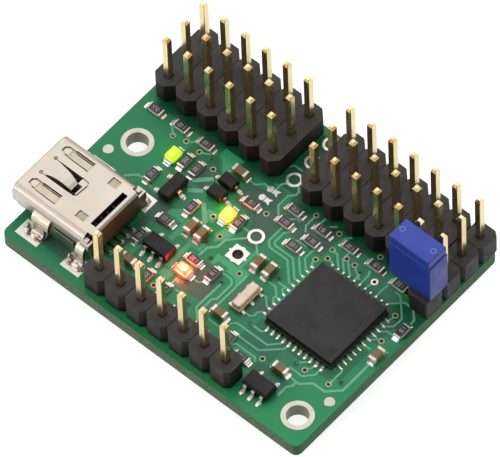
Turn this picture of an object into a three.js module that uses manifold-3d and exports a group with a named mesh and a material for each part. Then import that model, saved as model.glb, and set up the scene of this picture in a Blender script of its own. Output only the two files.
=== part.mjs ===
// Servo driver board: a small USB servo controller card with two three-row
// servo header blocks, a power header with a shorting block, a serial header,
// a mini USB socket and surface-mounted parts.
// Units are millimetres, +Z is up. The origin is the centre of the board's
// underside, X runs along the board's long edge away from the USB socket and
// Y runs towards the servo headers.
import * as THREE from 'three';
import * as BufferGeometryUtils from 'three/addons/utils/BufferGeometryUtils.js';
import Module from 'manifold-3d';

const wasm = await Module();
wasm.setup();

// ---------------------------------------------------------------- dimensions
const PITCH = 2.54;              // every header is on the 0.1 inch grid
const BOARD_L = 35.74;           // long edge, X
const BOARD_W = 27.94;           // short edge, Y
const BOARD_T = 1.57;            // FR4 thickness
const BOARD_CORNER_R = 0.7;
const CX = 17.87, CY = 13.97;    // board centre measured from its near corner

const PIN = 0.64;                // square header pin
const PIN_TIP = 0.16;            // bevel on a pin's tip
const PIN_HOLE_R = 0.51;
const HOUSING_H = 2.54;          // header plastic height
const SERVO_CHAMFER = 0.8;       // corner cut of each servo header unit
const SERIAL_CHAMFER = 0.5;      // corner cut of each serial header unit
const POWER_NOTCH = 0.45;        // depth of the notches between power header units
const PIN_ABOVE = 8.54;          // pin tip above the board's top face
const PIN_TAIL = 1.43;           // pin tail below the board's underside
const BORE_GAP = 0.02;           // clearance of a pin in its plastic

const COL0_X = 1.387, ROW0_Y = 21.647;   // first servo pin from the near corner
const STRIP_X = 34.5, STRIP_Y0 = 19.22;  // power header's first pin
const SERIAL_X0 = 10.508, SERIAL_Y = 1.839;

const MOUNT_HOLE_R = 1.12;
const MOUNT_RING_R = 1.56;
const PLATING_T = 0.035;
const MOUNT_HOLES = [[2.95, 15.44], [33.5, 2.73]];
const SPARE_HOLES = [             // unfilled plated holes, radius
  [1.387 + 6 * PITCH, ROW0_Y, 0.52], [1.387 + 6 * PITCH, ROW0_Y + PITCH, 0.52],
  [1.387 + 6 * PITCH, ROW0_Y + 2 * PITCH, 0.52], [18.02, 14.74, 0.52], [18.02, 12.2, 0.52],
];

const USB_Y = 6.42;              // socket centre line
const USB_X0 = -0.85, USB_X1 = 8.3;
const USB_W = 7.7, USB_TOP = 3.95, USB_WALL = 0.3;
const USB_SHOULDER = 0.9;        // outer radius of the shell's top edges

const MCU_C = [28.64, 12.3];
const JUMPER_C = [33.39, 19.62];
const JUMPER_L = 4.94, JUMPER_W = 2.46;
const JUMPER_Z0 = 2.66, JUMPER_Z1 = 8.9;
const JUMPER_CAP = 1.1;          // height of the gripping cap above its groove

// ---------------------------------------------------------------- materials
const mat = (color, roughness, metalness) => new THREE.MeshStandardMaterial({ color, roughness, metalness });
const group = new THREE.Group();
group.name = 'servo_driver_board';
function addMesh(name, geo, color, roughness, metalness) {
  const m = new THREE.Mesh(geo, mat(color, roughness, metalness));
  m.name = name;
  group.add(m);
  return m;
}

// ---------------------------------------------------------------- helpers
// Board-corner coordinates (z from the board's top face) into the part frame.
const px = (x) => x - CX;
const py = (y) => y - CY;
const pz = (z) => z + BOARD_T;

// A closed loft through rings that all have the same number of points.
function loft(rings) {
  const n = rings[0].length;
  const v = [];
  const idx = [];
  rings.forEach((r) => r.forEach((p) => v.push(...p)));
  for (let k = 0; k + 1 < rings.length; k++) {
    for (let i = 0; i < n; i++) {
      const j = (i + 1) % n;
      const a = k * n + i, b = k * n + j, c = (k + 1) * n + j, d = (k + 1) * n + i;
      idx.push(a, b, c, a, c, d);
    }
  }
  const cap = (k, flip) => {
    for (let i = 1; i + 1 < n; i++) {
      const t = [k * n, k * n + i, k * n + i + 1];
      if (flip) t.reverse();
      idx.push(...t);
    }
  };
  cap(0, true);
  cap(rings.length - 1, false);
  const g = new THREE.BufferGeometry();
  g.setAttribute('position', new THREE.Float32BufferAttribute(v, 3));
  g.setIndex(idx);
  return g;
}
// Rectangle ring at height z, counter-clockwise from above.
const rect = (x0, x1, y0, y1, z) => [[x0, y0, z], [x1, y0, z], [x1, y1, z], [x0, y1, z]];
const octa = (x0, x1, y0, y1, c, z) => [
  [x0 + c, y0, z], [x1 - c, y0, z], [x1, y0 + c, z], [x1, y1 - c, z],
  [x1 - c, y1, z], [x0 + c, y1, z], [x0, y1 - c, z], [x0, y0 + c, z]];
const box = (x0, x1, y0, y1, z0, z1) => loft([rect(x0, x1, y0, y1, z0), rect(x0, x1, y0, y1, z1)]);
// Box in board-corner coordinates with a small bevel round its top edge.
function topBevel(xc, yc, lx, ly, z0, z1, b) {
  const x0 = px(xc - lx / 2), x1 = px(xc + lx / 2), y0 = py(yc - ly / 2), y1 = py(yc + ly / 2);
  return loft([rect(x0, x1, y0, y1, pz(z0)), rect(x0, x1, y0, y1, pz(z1 - b)),
    rect(x0 + b, x1 - b, y0 + b, y1 - b, pz(z1))]);
}
function prism(points, z0, z1) {
  return loft([points.map((p) => [p[0], p[1], z0]), points.map((p) => [p[0], p[1], z1])]);
}
function shapeExtrude(points, z0, z1) {
  const s = new THREE.Shape(points.map((p) => new THREE.Vector2(p[0], p[1])));
  const g = new THREE.ExtrudeGeometry(s, { depth: z1 - z0, bevelEnabled: false });
  g.translate(0, 0, z0);
  return g;
}
const circle = (x, y, r, n) => Array.from({ length: n }, (_, i) => {
  const a = (2 * Math.PI * (i + 0.5)) / n;
  return [x + r * Math.cos(a), y + r * Math.sin(a)];
});

function toManifold(geo) {
  const g = geo.clone();
  g.deleteAttribute('normal');
  g.deleteAttribute('uv');
  const m = BufferGeometryUtils.mergeVertices(g, 1e-5);
  return new wasm.Manifold(new wasm.Mesh({
    numProp: 3,
    vertProperties: new Float32Array(m.attributes.position.array),
    triVerts: new Uint32Array(m.index.array),
  }));
}
function fromManifold(man) {
  const m = man.getMesh();
  const n = m.numProp;
  const v = [];
  for (let i = 0; i < m.vertProperties.length; i += n) v.push(m.vertProperties[i], m.vertProperties[i + 1], m.vertProperties[i + 2]);
  const g = new THREE.BufferGeometry();
  g.setAttribute('position', new THREE.Float32BufferAttribute(v, 3));
  g.setIndex(Array.from(m.triVerts));
  g.computeVertexNormals();
  return g;
}
function csg(base, plus = [], minus = []) {
  let m = toManifold(base);
  plus.forEach((g) => { m = m.add(toManifold(g)); });
  minus.forEach((g) => { m = m.subtract(toManifold(g)); });
  return fromManifold(m);
}

// ---------------------------------------------------------------- board
const pinHoles = [];
for (let c = 0; c < 13; c++) {
  if (c === 6) continue;
  for (let r = 0; r < 3; r++) pinHoles.push([COL0_X + c * PITCH, ROW0_Y + r * PITCH]);
}
for (let r = 0; r < 4; r++) pinHoles.push([STRIP_X, STRIP_Y0 + r * PITCH]);
for (let c = 0; c < 7; c++) pinHoles.push([SERIAL_X0 + c * PITCH, SERIAL_Y]);
{
  const hx = BOARD_L / 2, hy = BOARD_W / 2, r = BOARD_CORNER_R;
  const pts = [];
  [[hx - r, -hy + r, -90], [hx - r, hy - r, 0], [-hx + r, hy - r, 90], [-hx + r, -hy + r, 180]].forEach(([cx, cy, a0]) => {
    for (let k = 0; k <= 4; k++) {
      const a = ((a0 + k * 22.5) * Math.PI) / 180;
      pts.push(new THREE.Vector2(cx + r * Math.cos(a), cy + r * Math.sin(a)));
    }
  });
  const s = new THREE.Shape(pts);
  const hole = (x, y, rad, n) => s.holes.push(new THREE.Path(circle(px(x), py(y), rad, n).reverse().map((p) => new THREE.Vector2(p[0], p[1]))));
  MOUNT_HOLES.forEach(([x, y]) => hole(x, y, MOUNT_HOLE_R, 32));
  SPARE_HOLES.forEach(([x, y, rad]) => hole(x, y, rad, 16));
  pinHoles.forEach(([x, y]) => hole(x, y, PIN_HOLE_R, 8 + 4));
  const g = new THREE.ExtrudeGeometry(s, { depth: BOARD_T, bevelEnabled: false });
  addMesh('circuit_board', g, 0x1d7a4c, 0.45, 0.0);
}

// Plated wall of a mounting hole with a flat ring on both faces of the board.
function plating(x, y) {
  const n = 32, ro = MOUNT_HOLE_R - 0.004, ri = ro - PLATING_T;
  const prof = [
    [ri, -PLATING_T], [MOUNT_RING_R, -PLATING_T], [MOUNT_RING_R, -0.002], [ro, -0.002],
    [ro, BOARD_T + 0.002], [MOUNT_RING_R, BOARD_T + 0.002], [MOUNT_RING_R, BOARD_T + PLATING_T], [ri, BOARD_T + PLATING_T],
  ];
  const v = [], idx = [];
  for (let i = 0; i < n; i++) {
    const a = (2 * Math.PI * (i + 0.5)) / n;
    prof.forEach(([r, z]) => v.push(px(x) + r * Math.cos(a), py(y) + r * Math.sin(a), z));
  }
  const m = prof.length;
  for (let i = 0; i < n; i++) {
    const j = (i + 1) % n;
    for (let k = 0; k < m; k++) {
      const l = (k + 1) % m;
      const a = i * m + k, b = j * m + k, c = j * m + l, d = i * m + l;
      idx.push(a, b, c, a, c, d);
    }
  }
  const g = new THREE.BufferGeometry();
  g.setAttribute('position', new THREE.Float32BufferAttribute(v, 3));
  g.setIndex(idx);
  return g;
}
addMesh('mount_hole_plating_left', plating(...MOUNT_HOLES[0]), 0xd8d4cc, 0.3, 0.9);
addMesh('mount_hole_plating_right', plating(...MOUNT_HOLES[1]), 0xd8d4cc, 0.3, 0.9);

// ---------------------------------------------------------------- header plastics
// A strip of chamfered units along X. Each unit reaches over the given rows in Y.
function housingX(x0, cols, yA, yB, web, c) {
  const h = PITCH / 2;
  const lo = [], hi = [];
  for (let i = 0; i < cols; i++) {
    const xc = x0 + i * PITCH;
    lo.push([px(xc - h), py(yA - h + c)], [px(xc - h + c), py(yA - h)], [px(xc + h - c), py(yA - h)]);
    hi.push([px(xc + h), py(yB + h - c)], [px(xc + h - c), py(yB + h)], [px(xc - h + c), py(yB + h)]);
  }
  // near side left to right, then far side right to left
  const pts = [...lo, [px(x0 + (cols - 1) * PITCH + h), py(yA - h + c)]];
  for (let i = cols - 1; i >= 0; i--) pts.push(...hi.slice(3 * i, 3 * i + 3));
  pts.push([px(x0 - h), py(yB + h - c)]);
  const body = shapeExtrude(pts, pz(0.01), pz(HOUSING_H));
  const minus = [];
  const e = PIN / 2 + BORE_GAP;
  for (let i = 0; i < cols; i++) {
    const xc = x0 + i * PITCH;
    const rows = Math.round((yB - yA) / PITCH) + 1;
    for (let r = 0; r < rows; r++) {
      const yc = yA + r * PITCH;
      minus.push(box(px(xc) - e, px(xc) + e, py(yc) - e, py(yc) + e, pz(-0.5), pz(3)));
    }
    if (web) minus.push(box(px(xc) - 0.18, px(xc) + 0.18, py(yA), py(yB), pz(-0.5), pz(0.45)));
    if (i > 0) minus.push(box(px(xc - h) - 0.07, px(xc - h) + 0.07, py(yA - h), py(yB + h), pz(HOUSING_H - 0.1), pz(3)));
  }
  return csg(body, [], minus);
}
addMesh('servo_housing_left', housingX(COL0_X, 6, ROW0_Y, ROW0_Y + 2 * PITCH, true, SERVO_CHAMFER), 0x2b2b2d, 0.55, 0.0);
addMesh('servo_housing_right', housingX(COL0_X + 7 * PITCH, 6, ROW0_Y, ROW0_Y + 2 * PITCH, true, SERVO_CHAMFER), 0x2b2b2d, 0.55, 0.0);
addMesh('serial_housing', housingX(SERIAL_X0, 7, SERIAL_Y, SERIAL_Y, false, SERIAL_CHAMFER), 0x2b2b2d, 0.55, 0.0);
{
  // Power header: four units along Y.
  const c = POWER_NOTCH, g = 0.36, h = PITCH / 2, wl = 1.24, wr = 1.22, n = 4;
  const right = [], left = [];
  for (let i = 0; i < n; i++) {
    const yc = STRIP_Y0 + i * PITCH;
    // the strip was cut square next to its first unit
    if (i === 0) right.push([px(STRIP_X + wr - 0.14), py(yc - h)], [px(STRIP_X + wr), py(yc - h + 0.14)], [px(STRIP_X + wr), py(yc + h - g)]);
    else right.push([px(STRIP_X + wr - c), py(yc - h)], [px(STRIP_X + wr), py(yc - h + g)], [px(STRIP_X + wr), py(yc + h - g)]);
    left.push([px(STRIP_X - wl + c), py(yc + h)], [px(STRIP_X - wl), py(yc + h - g)], [px(STRIP_X - wl), py(yc - h + g)]);
  }
  const pts = [...right, [px(STRIP_X + wr - c), py(STRIP_Y0 + (n - 1) * PITCH + h)]];
  for (let i = n - 1; i >= 0; i--) pts.push(...left.slice(3 * i, 3 * i + 3));
  pts.push([px(STRIP_X - wl + c), py(STRIP_Y0 - h)]);
  const minus = [];
  const e = PIN / 2 + BORE_GAP;
  for (let i = 0; i < n; i++) {
    const yc = STRIP_Y0 + i * PITCH;
    minus.push(box(px(STRIP_X) - e, px(STRIP_X) + e, py(yc) - e, py(yc) + e, pz(-0.5), pz(3)));
    if (i > 0) minus.push(box(px(STRIP_X - 2), px(STRIP_X + 2), py(yc - h) - 0.07, py(yc - h) + 0.07, pz(HOUSING_H - 0.1), pz(3)));
  }
  addMesh('power_housing', csg(shapeExtrude(pts, pz(0.01), pz(HOUSING_H)), [], minus), 0x2b2b2d, 0.55, 0.0);
}

// ---------------------------------------------------------------- pins
function pinGeo(x, y) {
  const h = PIN / 2, t = PIN_TIP, X = px(x), Y = py(y);
  const z0 = -PIN_TAIL, z1 = pz(PIN_ABOVE);
  return loft([
    rect(X - h + t, X + h - t, Y - h + t, Y + h - t, z0),
    rect(X - h, X + h, Y - h, Y + h, z0 + 0.3),
    rect(X - h, X + h, Y - h, Y + h, z1 - 0.3),
    rect(X - h + t, X + h - t, Y - h + t, Y + h - t, z1),
  ]);
}
// The three pins of one servo channel, tied by a thin web inside the plastic.
let channel = 0;
for (let c = 0; c < 13; c++) {
  if (c === 6) continue;
  const x = COL0_X + c * PITCH;
  const web = box(px(x) - 0.14, px(x) + 0.14, py(ROW0_Y), py(ROW0_Y + 2 * PITCH), pz(0.1), pz(0.4));
  const g = csg(pinGeo(x, ROW0_Y), [pinGeo(x, ROW0_Y + PITCH), pinGeo(x, ROW0_Y + 2 * PITCH), web]);
  addMesh(`channel_${String(channel).padStart(2, '0')}_pins`, g, 0xd9c48f, 0.28, 0.95);
  channel++;
}
for (let r = 0; r < 4; r++) addMesh(`power_pin_${r + 1}`, pinGeo(STRIP_X, STRIP_Y0 + r * PITCH), 0xd9c48f, 0.28, 0.95);
for (let c = 0; c < 7; c++) addMesh(`serial_pin_${c + 1}`, pinGeo(SERIAL_X0 + c * PITCH, SERIAL_Y), 0xd9c48f, 0.28, 0.95);

// ---------------------------------------------------------------- USB socket
// Cross-section ring in the YZ plane, inset by d, at station x.
function usbRing(x, d, flare = 0) {
  const w = USB_W / 2 - d + flare, t = USB_TOP - d + flare, lw = 3.2 - d + flare, b = 0.06 + d - flare, r = USB_SHOULDER - d;
  const out = [];
  out.push([-lw + 0.25, b], [lw - 0.25, b], [lw, b + 0.25], [lw + 0.1, 1.45], [w, 1.98], [w, t - r]);
  for (let k = 1; k <= 7; k++) out.push([w - r + r * Math.cos((k * Math.PI) / 14), t - r + r * Math.sin((k * Math.PI) / 14)]);
  for (let k = 0; k <= 6; k++) out.push([-w + r - r * Math.sin((k * Math.PI) / 14), t - r + r * Math.cos((k * Math.PI) / 14)]);
  out.push([-w, t - r], [-w, 1.98], [-lw - 0.1, 1.45], [-lw, b + 0.25]);
  return out.map(([y, z]) => [px(x), py(USB_Y + y), pz(z)]);
}
{
  const outer = loft([usbRing(USB_X0, 0.08), usbRing(USB_X0 + 0.12, 0), usbRing(USB_X1 - 0.15, 0), usbRing(USB_X1, 0.0)]);
  const inner = loft([usbRing(USB_X0 - 1, USB_WALL), usbRing(USB_X1 + 1, USB_WALL)]);
  const cut = (x0, x1, y0, y1, z0, z1) => box(px(x0), px(x1), py(y0), py(y1), pz(z0), pz(z1));
  const legs = [];
  // A profile in the YZ plane, extruded along X, on the +Y (s = 1) or -Y (s = -1) side.
  const along = (ys, x0, x1, s) => {
    const shape = new THREE.Shape(ys.map(([y, z]) => new THREE.Vector2(y, z)));
    const g = new THREE.ExtrudeGeometry(shape, { depth: x1 - x0, bevelEnabled: false });
    // local x -> Y, local y -> Z, local z -> X
    const m = new THREE.Matrix4();
    if (s > 0) m.set(0, 0, 1, px(x0), 1, 0, 0, py(USB_Y), 0, 1, 0, pz(0), 0, 0, 0, 1);
    else m.set(0, 0, -1, px(x1), -1, 0, 0, py(USB_Y), 0, 1, 0, pz(0), 0, 0, 0, 1);
    g.applyMatrix4(m);
    return g;
  };
  // Four soldering tabs: they bulge out of the side wall, then drop to their pads.
  [[2.15, 3.42, 1.95, 3.98], [7.26, 8.2, 7.26, 8.24]].forEach(([x0, x1, xa, xb]) => {
    [-1, 1].forEach((s) => {
      legs.push(along([[3.7, 2.3], [3.95, 2.22], [4.08, 1.95], [4.1, 1.5], [4.02, 1.05], [4.08, 0.5], [4.25, 0.06], [4.86, 0.06], [4.83, 0.3],
        [4.62, 0.36], [4.42, 0.5], [4.3, 1.0], [4.38, 1.5], [4.37, 2.02], [4.26, 2.4], [4.05, 2.66], [3.7, 2.86]], x0, x1, s));
      legs.push(along([[3.7, 2.3], [3.95, 2.22], [4.08, 1.95], [4.1, 1.44], [4.38, 1.44], [4.37, 2.02], [4.26, 2.4], [4.05, 2.66], [3.7, 2.86]], xa, xb, s));
      // lower side wall between the tabs, standing on the board
      legs.push(along([[3.6, 0.06], [3.83, 0.06], [3.83, 1.99], [3.85, 2.1], [3.6, 2.1]], 3.42, 6.62, s));
    });
  });
  const zt = USB_TOP;
  // A narrow groove of width w and depth d along a line on the lid.
  const groove = (pts, w, d) => pts.slice(1).map(([x2, y2], i) => {
    const [x1, y1] = pts[i], l = Math.hypot(x2 - x1, y2 - y1), ux = (x2 - x1) / l, uy = (y2 - y1) / l, e = w * 0.4;
    const q = [[x1 - ux * e, y1 - uy * e, -1], [x2 + ux * e, y2 + uy * e, -1], [x2 + ux * e, y2 + uy * e, 1], [x1 - ux * e, y1 - uy * e, 1]];
    return loft([zt - d, zt + 0.3].map((z) => q.map(([x, y, k]) => [px(x - k * uy * w * 0.5), py(y + k * ux * w * 0.5), pz(z)])));
  });
  const round = (xc, yc, r, z0, z1) => loft([z0, z1].map((z) => Array.from({ length: 16 }, (_, i) => {
    const t = (2 * Math.PI * i) / 16;
    return [px(xc) + r * Math.cos(t), py(yc) + r * Math.sin(t), pz(z)];
  })));
  const minus = [
    inner,
    // window round the centre spring tongue: two slits, widening towards its free end
    cut(0.25, 0.9, USB_Y - 0.99, USB_Y - 0.9, zt - 0.5, zt + 0.3),
    cut(0.25, 0.9, USB_Y + 0.97, USB_Y + 1.05, zt - 0.5, zt + 0.3),
    cut(0.8, 3.62, USB_Y - 0.99, USB_Y + 1.05, zt - 0.5, zt + 0.3),
    cut(3.55, 4.15, USB_Y - 0.96, USB_Y + 0.3, zt - 0.5, zt + 0.3),
    // slits in the side walls above the lower walls
    cut(4.4, 7.12, USB_Y - 3.95, USB_Y - 3.4, 1.97, 2.36),
    cut(4.4, 7.12, USB_Y + 3.4, USB_Y + 3.95, 1.97, 2.36),
    // way out for the contacts at the rear of the socket's floor
    cut(7.8, 8.7, USB_Y - 2.0, USB_Y + 2.0, -0.2, 0.7),
    // rear slot
    cut(7.35, 8.0, USB_Y - 2.2, USB_Y + 2.22, zt - 0.5, zt + 0.3),
    // relief notches where the rear flap is folded down
    cut(7.78, 8.5, USB_Y - 4.0, USB_Y - 3.06, 3.5, zt + 0.3),
    cut(7.78, 8.5, USB_Y + 3.06, USB_Y + 4.0, 3.5, zt + 0.3),
    // slots on the inner side of the two spring arms
    cut(1.2, 3.45, USB_Y - 1.92, USB_Y - 1.62, zt - 0.5, zt + 0.3),
    cut(1.2, 3.45, USB_Y + 2.6, USB_Y + 2.92, zt - 0.5, zt + 0.3),
    // window corner line, arm outlines
    ...groove([[3.6, USB_Y + 1.02], [4.3, USB_Y + 0.95], [4.46, USB_Y + 0.72], [4.36, USB_Y - 0.7], [4.12, USB_Y - 0.9]], 0.14, 0.16),
    ...groove([[3.38, USB_Y + 1.86], [0.95, USB_Y + 1.9], [0.42, USB_Y + 1.92], [0.12, USB_Y + 2.18], [0.14, USB_Y + 2.52], [0.42, USB_Y + 2.76], [1.25, USB_Y + 2.76]], 0.19, 0.2),
    ...groove([[3.42, USB_Y - 2.72], [1.0, USB_Y - 2.66], [0.5, USB_Y - 2.64], [0.14, USB_Y - 2.4], [0.14, USB_Y - 2.02], [0.42, USB_Y - 1.76], [1.25, USB_Y - 1.77]], 0.19, 0.2),
  ];
  let m = toManifold(outer);
  legs.forEach((g) => { m = m.add(toManifold(g)); });
  minus.forEach((g) => { m = m.subtract(toManifold(g)); });
  // ring-shaped ends of the tongue's slits
  [[0.24, USB_Y + 1.05], [0.22, USB_Y - 0.93]].forEach(([x, y]) => {
    m = m.subtract(toManifold(round(x, y, 0.2, zt - 0.18, zt + 0.3)).subtract(toManifold(round(x, y, 0.08, zt - 0.3, zt + 0.4))));
  });
  // free end of the centre tongue: narrows and bends down into the socket
  const tip = [[0.7, 0.84, 0.97, 0], [1.25, 0.66, 0.9, 0.02], [1.8, 0.56, 0.84, 0.06], [2.4, 0.5, 0.76, 0.16], [3.05, 0.46, 0.62, 0.36], [3.4, 0.4, 0.52, 0.52]];
  m = m.add(toManifold(loft(tip.map(([x, wn, wp, drop]) => {
    const z1 = zt - drop, z0 = z1 - 0.28;
    return [[-wn, z0], [wp, z0], [wp, z1], [-wn, z1]].map(([y, z]) => [px(x), py(USB_Y + y), pz(z)]);
  }))));
  // closing flap folded down at the rear, with an ear round each side wall
  m = m.add(toManifold(cut(8.2, 8.6, USB_Y - 3.0, USB_Y + 3.0, zt - 0.3, zt - 0.02)));
  m = m.add(toManifold(cut(8.36, 8.6, USB_Y - 3.0, USB_Y + 3.0, 1.1, zt - 0.02)));
  m = m.add(toManifold(cut(8.36, 8.6, USB_Y - 3.62, USB_Y + 3.62, 1.1, 3.3)));
  [-1, 1].forEach((s) => {
    const [ya, yb] = s > 0 ? [3.6, 3.98] : [-3.98, -3.6];
    m = m.add(toManifold(cut(7.66, 8.6, USB_Y + ya, USB_Y + yb, 2.5, 3.3)));
  });
  // shallow stampings: two squares, and the two spring arms set slightly lower
  [[5.62, 6.64, 2.03, 2.96, 0.15], [5.68, 6.74, -2.5, -1.68, 0.15], [0.9, 3.44, 1.9, 2.62, 0.05], [0.9, 3.44, -2.7, -1.9, 0.05]].forEach(([x0, x1, y0, y1, d]) => {
    m = m.subtract(toManifold(cut(x0, x1, USB_Y + y0, USB_Y + y1, zt - d, zt + 0.3)));
  });
  addMesh('usb_shell', fromManifold(m), 0xd6cdc2, 0.32, 0.9);

  // Moulded insulator: a block at the rear with the contact tongue in front.
  const rings = (x, d) => {
    const r = usbRing(x, USB_WALL + d);
    return r;
  };
  const block = loft([rings(4.2, 0.03), rings(8.1, 0.03)]);
  const tongue = cut(-0.1, 4.4, USB_Y - 2.3, USB_Y + 2.3, 1.75, 2.35);
  // room for the metal seen through the rear slot, and the notches for the contacts
  const cuts = [cut(7.3, 8.4, USB_Y - 2.25, USB_Y + 2.25, zt - 1.1, zt)];
  for (let k = -2; k <= 2; k++) {
    cuts.push(cut(0.2, 8.6, USB_Y + 0.8 * k - 0.19, USB_Y + 0.8 * k + 0.19, 2.16, 2.5));
    cuts.push(cut(7.9, 8.6, USB_Y + 0.8 * k - 0.19, USB_Y + 0.8 * k + 0.19, -0.2, 2.5));
  }
  addMesh('usb_insulator', csg(block, [tongue], cuts), 0x1a1a1a, 0.6, 0.0);

  // Contacts: along the top of the tongue, down the back and out to the pads.
  for (let k = -2; k <= 2; k++) {
    const yc = USB_Y + 0.8 * k;
    const prof = [[0.3, 2.19], [8.0, 2.19], [8.0, 0.24], [8.04, 0.06], [9.0, 0.06], [9.0, 0.24], [8.2, 0.26], [8.18, 2.37], [0.3, 2.37]];
    const shape = new THREE.Shape(prof.map(([x, z]) => new THREE.Vector2(x, z)));
    const g = new THREE.ExtrudeGeometry(shape, { depth: 0.3, bevelEnabled: false });
    // local x -> X, local y -> Z, local z -> -Y
    g.applyMatrix4(new THREE.Matrix4().set(1, 0, 0, -CX, 0, 0, -1, py(yc + 0.15), 0, 1, 0, BOARD_T, 0, 0, 0, 1));
    addMesh(`usb_contact_${k + 3}`, g, 0xcfcac0, 0.3, 0.9);
  }
}

// ---------------------------------------------------------------- chips
{
  const [x, y] = MCU_C;
  const g = loft([
    rect(px(x - 4), px(x + 4), py(y - 4), py(y + 4), pz(0.04)),
    rect(px(x - 4), px(x + 4), py(y - 4), py(y + 4), pz(0.25)),
    rect(px(x - 3.9), px(x + 3.9), py(y - 3.9), py(y + 3.9), pz(0.27)),
    rect(px(x - 3.86), px(x + 3.86), py(y - 3.86), py(y + 3.86), pz(0.9)),
  ]);
  addMesh('microcontroller', g, 0x3a3a3c, 0.5, 0.0);
}
// Moulded body of a small leaded package, widest at its parting line.
function sotBody(xc, yc, lx, ly, z0, z1) {
  const d = 0.09, m = (z0 + z1) / 2;
  const r = (k, z) => rect(px(xc - lx / 2 + k), px(xc + lx / 2 - k), py(yc - ly / 2 + k), py(yc + ly / 2 - k), pz(z));
  return loft([r(d, z0), r(0, m), r(d, z1)]);
}
addMesh('regulator_transistor', sotBody(8.93, 13.62, 1.35, 2.9, 0.08, 1.05), 0x262626, 0.5, 0.0);
addMesh('regulator_chip', sotBody(12.28, 7.95, 2.9, 1.62, 0.1, 1.12), 0x262626, 0.5, 0.0);
addMesh('supervisor_chip', sotBody(29.03, 2.65, 2.9, 1.62, 0.1, 1.12), 0x262626, 0.5, 0.0);
addMesh('diode_upper', sotBody(12.4, 17.38, 1.72, 1.25, 0.06, 0.95), 0x242424, 0.5, 0.0);
addMesh('diode_lower', sotBody(12.4, 15.78, 1.72, 1.25, 0.06, 0.95), 0x242424, 0.5, 0.0);

// Ceramic resonator: base and soldered metal lid.
addMesh('resonator_base', topBevel(21.8, 9.05, 1.32, 3.2, 0.04, 0.48, 0.03), 0x8d6b4a, 0.5, 0.0);
addMesh('resonator_lid', topBevel(21.8, 9.05, 0.98, 2.94, 0.5, 0.98, 0.08), 0xcfc5ba, 0.3, 0.9);

// Lit indicator lamps.
function led(name, xc, yc, lx, ly, color) {
  const base = box(px(xc - lx / 2), px(xc + lx / 2), py(yc - ly / 2), py(yc + ly / 2), pz(0.03), pz(0.3));
  const k = lx > ly ? [lx * 0.36, ly * 0.48] : [lx * 0.48, ly * 0.36];
  const lens = loft([
    rect(px(xc - k[0]), px(xc + k[0]), py(yc - k[1]), py(yc + k[1]), pz(0.2)),
    rect(px(xc - k[0] * 0.96), px(xc + k[0] * 0.96), py(yc - k[1] * 0.96), py(yc + k[1] * 0.96), pz(0.7)),
    rect(px(xc - k[0] * 0.8), px(xc + k[0] * 0.8), py(yc - k[1] * 0.8), py(yc + k[1] * 0.8), pz(0.8)),
  ]);
  addMesh(name, csg(base, [lens]), color, 0.3, 0.0);
}
led('lamp_green', 6.52, 16.4, 1.0, 1.7, 0xb6ff1a);
led('lamp_yellow', 14.62, 14.72, 1.0, 1.7, 0xffe81a);
led('lamp_red', 15.5, 7.6, 1.7, 1.0, 0xff3a20);

// Ceramic capacitors: a body with slightly thicker ends.
const CAPS = [
  [12.5, 18.93, 'x'], [12.96, 11.57, 'y'], [14.22, 11.57, 'y'], [10.98, 5.17, 'x'], [20.24, 12.57, 'y'],
  [21.58, 12.57, 'y'], [21.12, 6.2, 'x'], [29.27, 5.25, 'x'], [34.92, 12.0, 'y'],
];
CAPS.forEach(([xc, yc, dir], i) => {
  const L = 0.8, w = 0.4, e = 0.36, s = 0.02;
  const st = [[-L, 0], [-L + e, 0], [-L + e + 0.01, s], [L - e - 0.01, s], [L - e, 0], [L, 0]];
  const rings = st.map(([t, k]) => {
    const h = 0.82;
    const q = [[-w + k, 0.03 + k], [w - k, 0.03 + k], [w - k, h - k], [-w + k, h - k]];
    return q.map(([a, z]) => (dir === 'x' ? [px(xc + t), py(yc + a), pz(z)] : [px(xc - a), py(yc + t), pz(z)]));
  });
  // end sections run along +X or +Y
  addMesh(`capacitor_${i + 1}`, loft(rings), 0x9a7a58, 0.5, 0.1);
});

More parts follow.
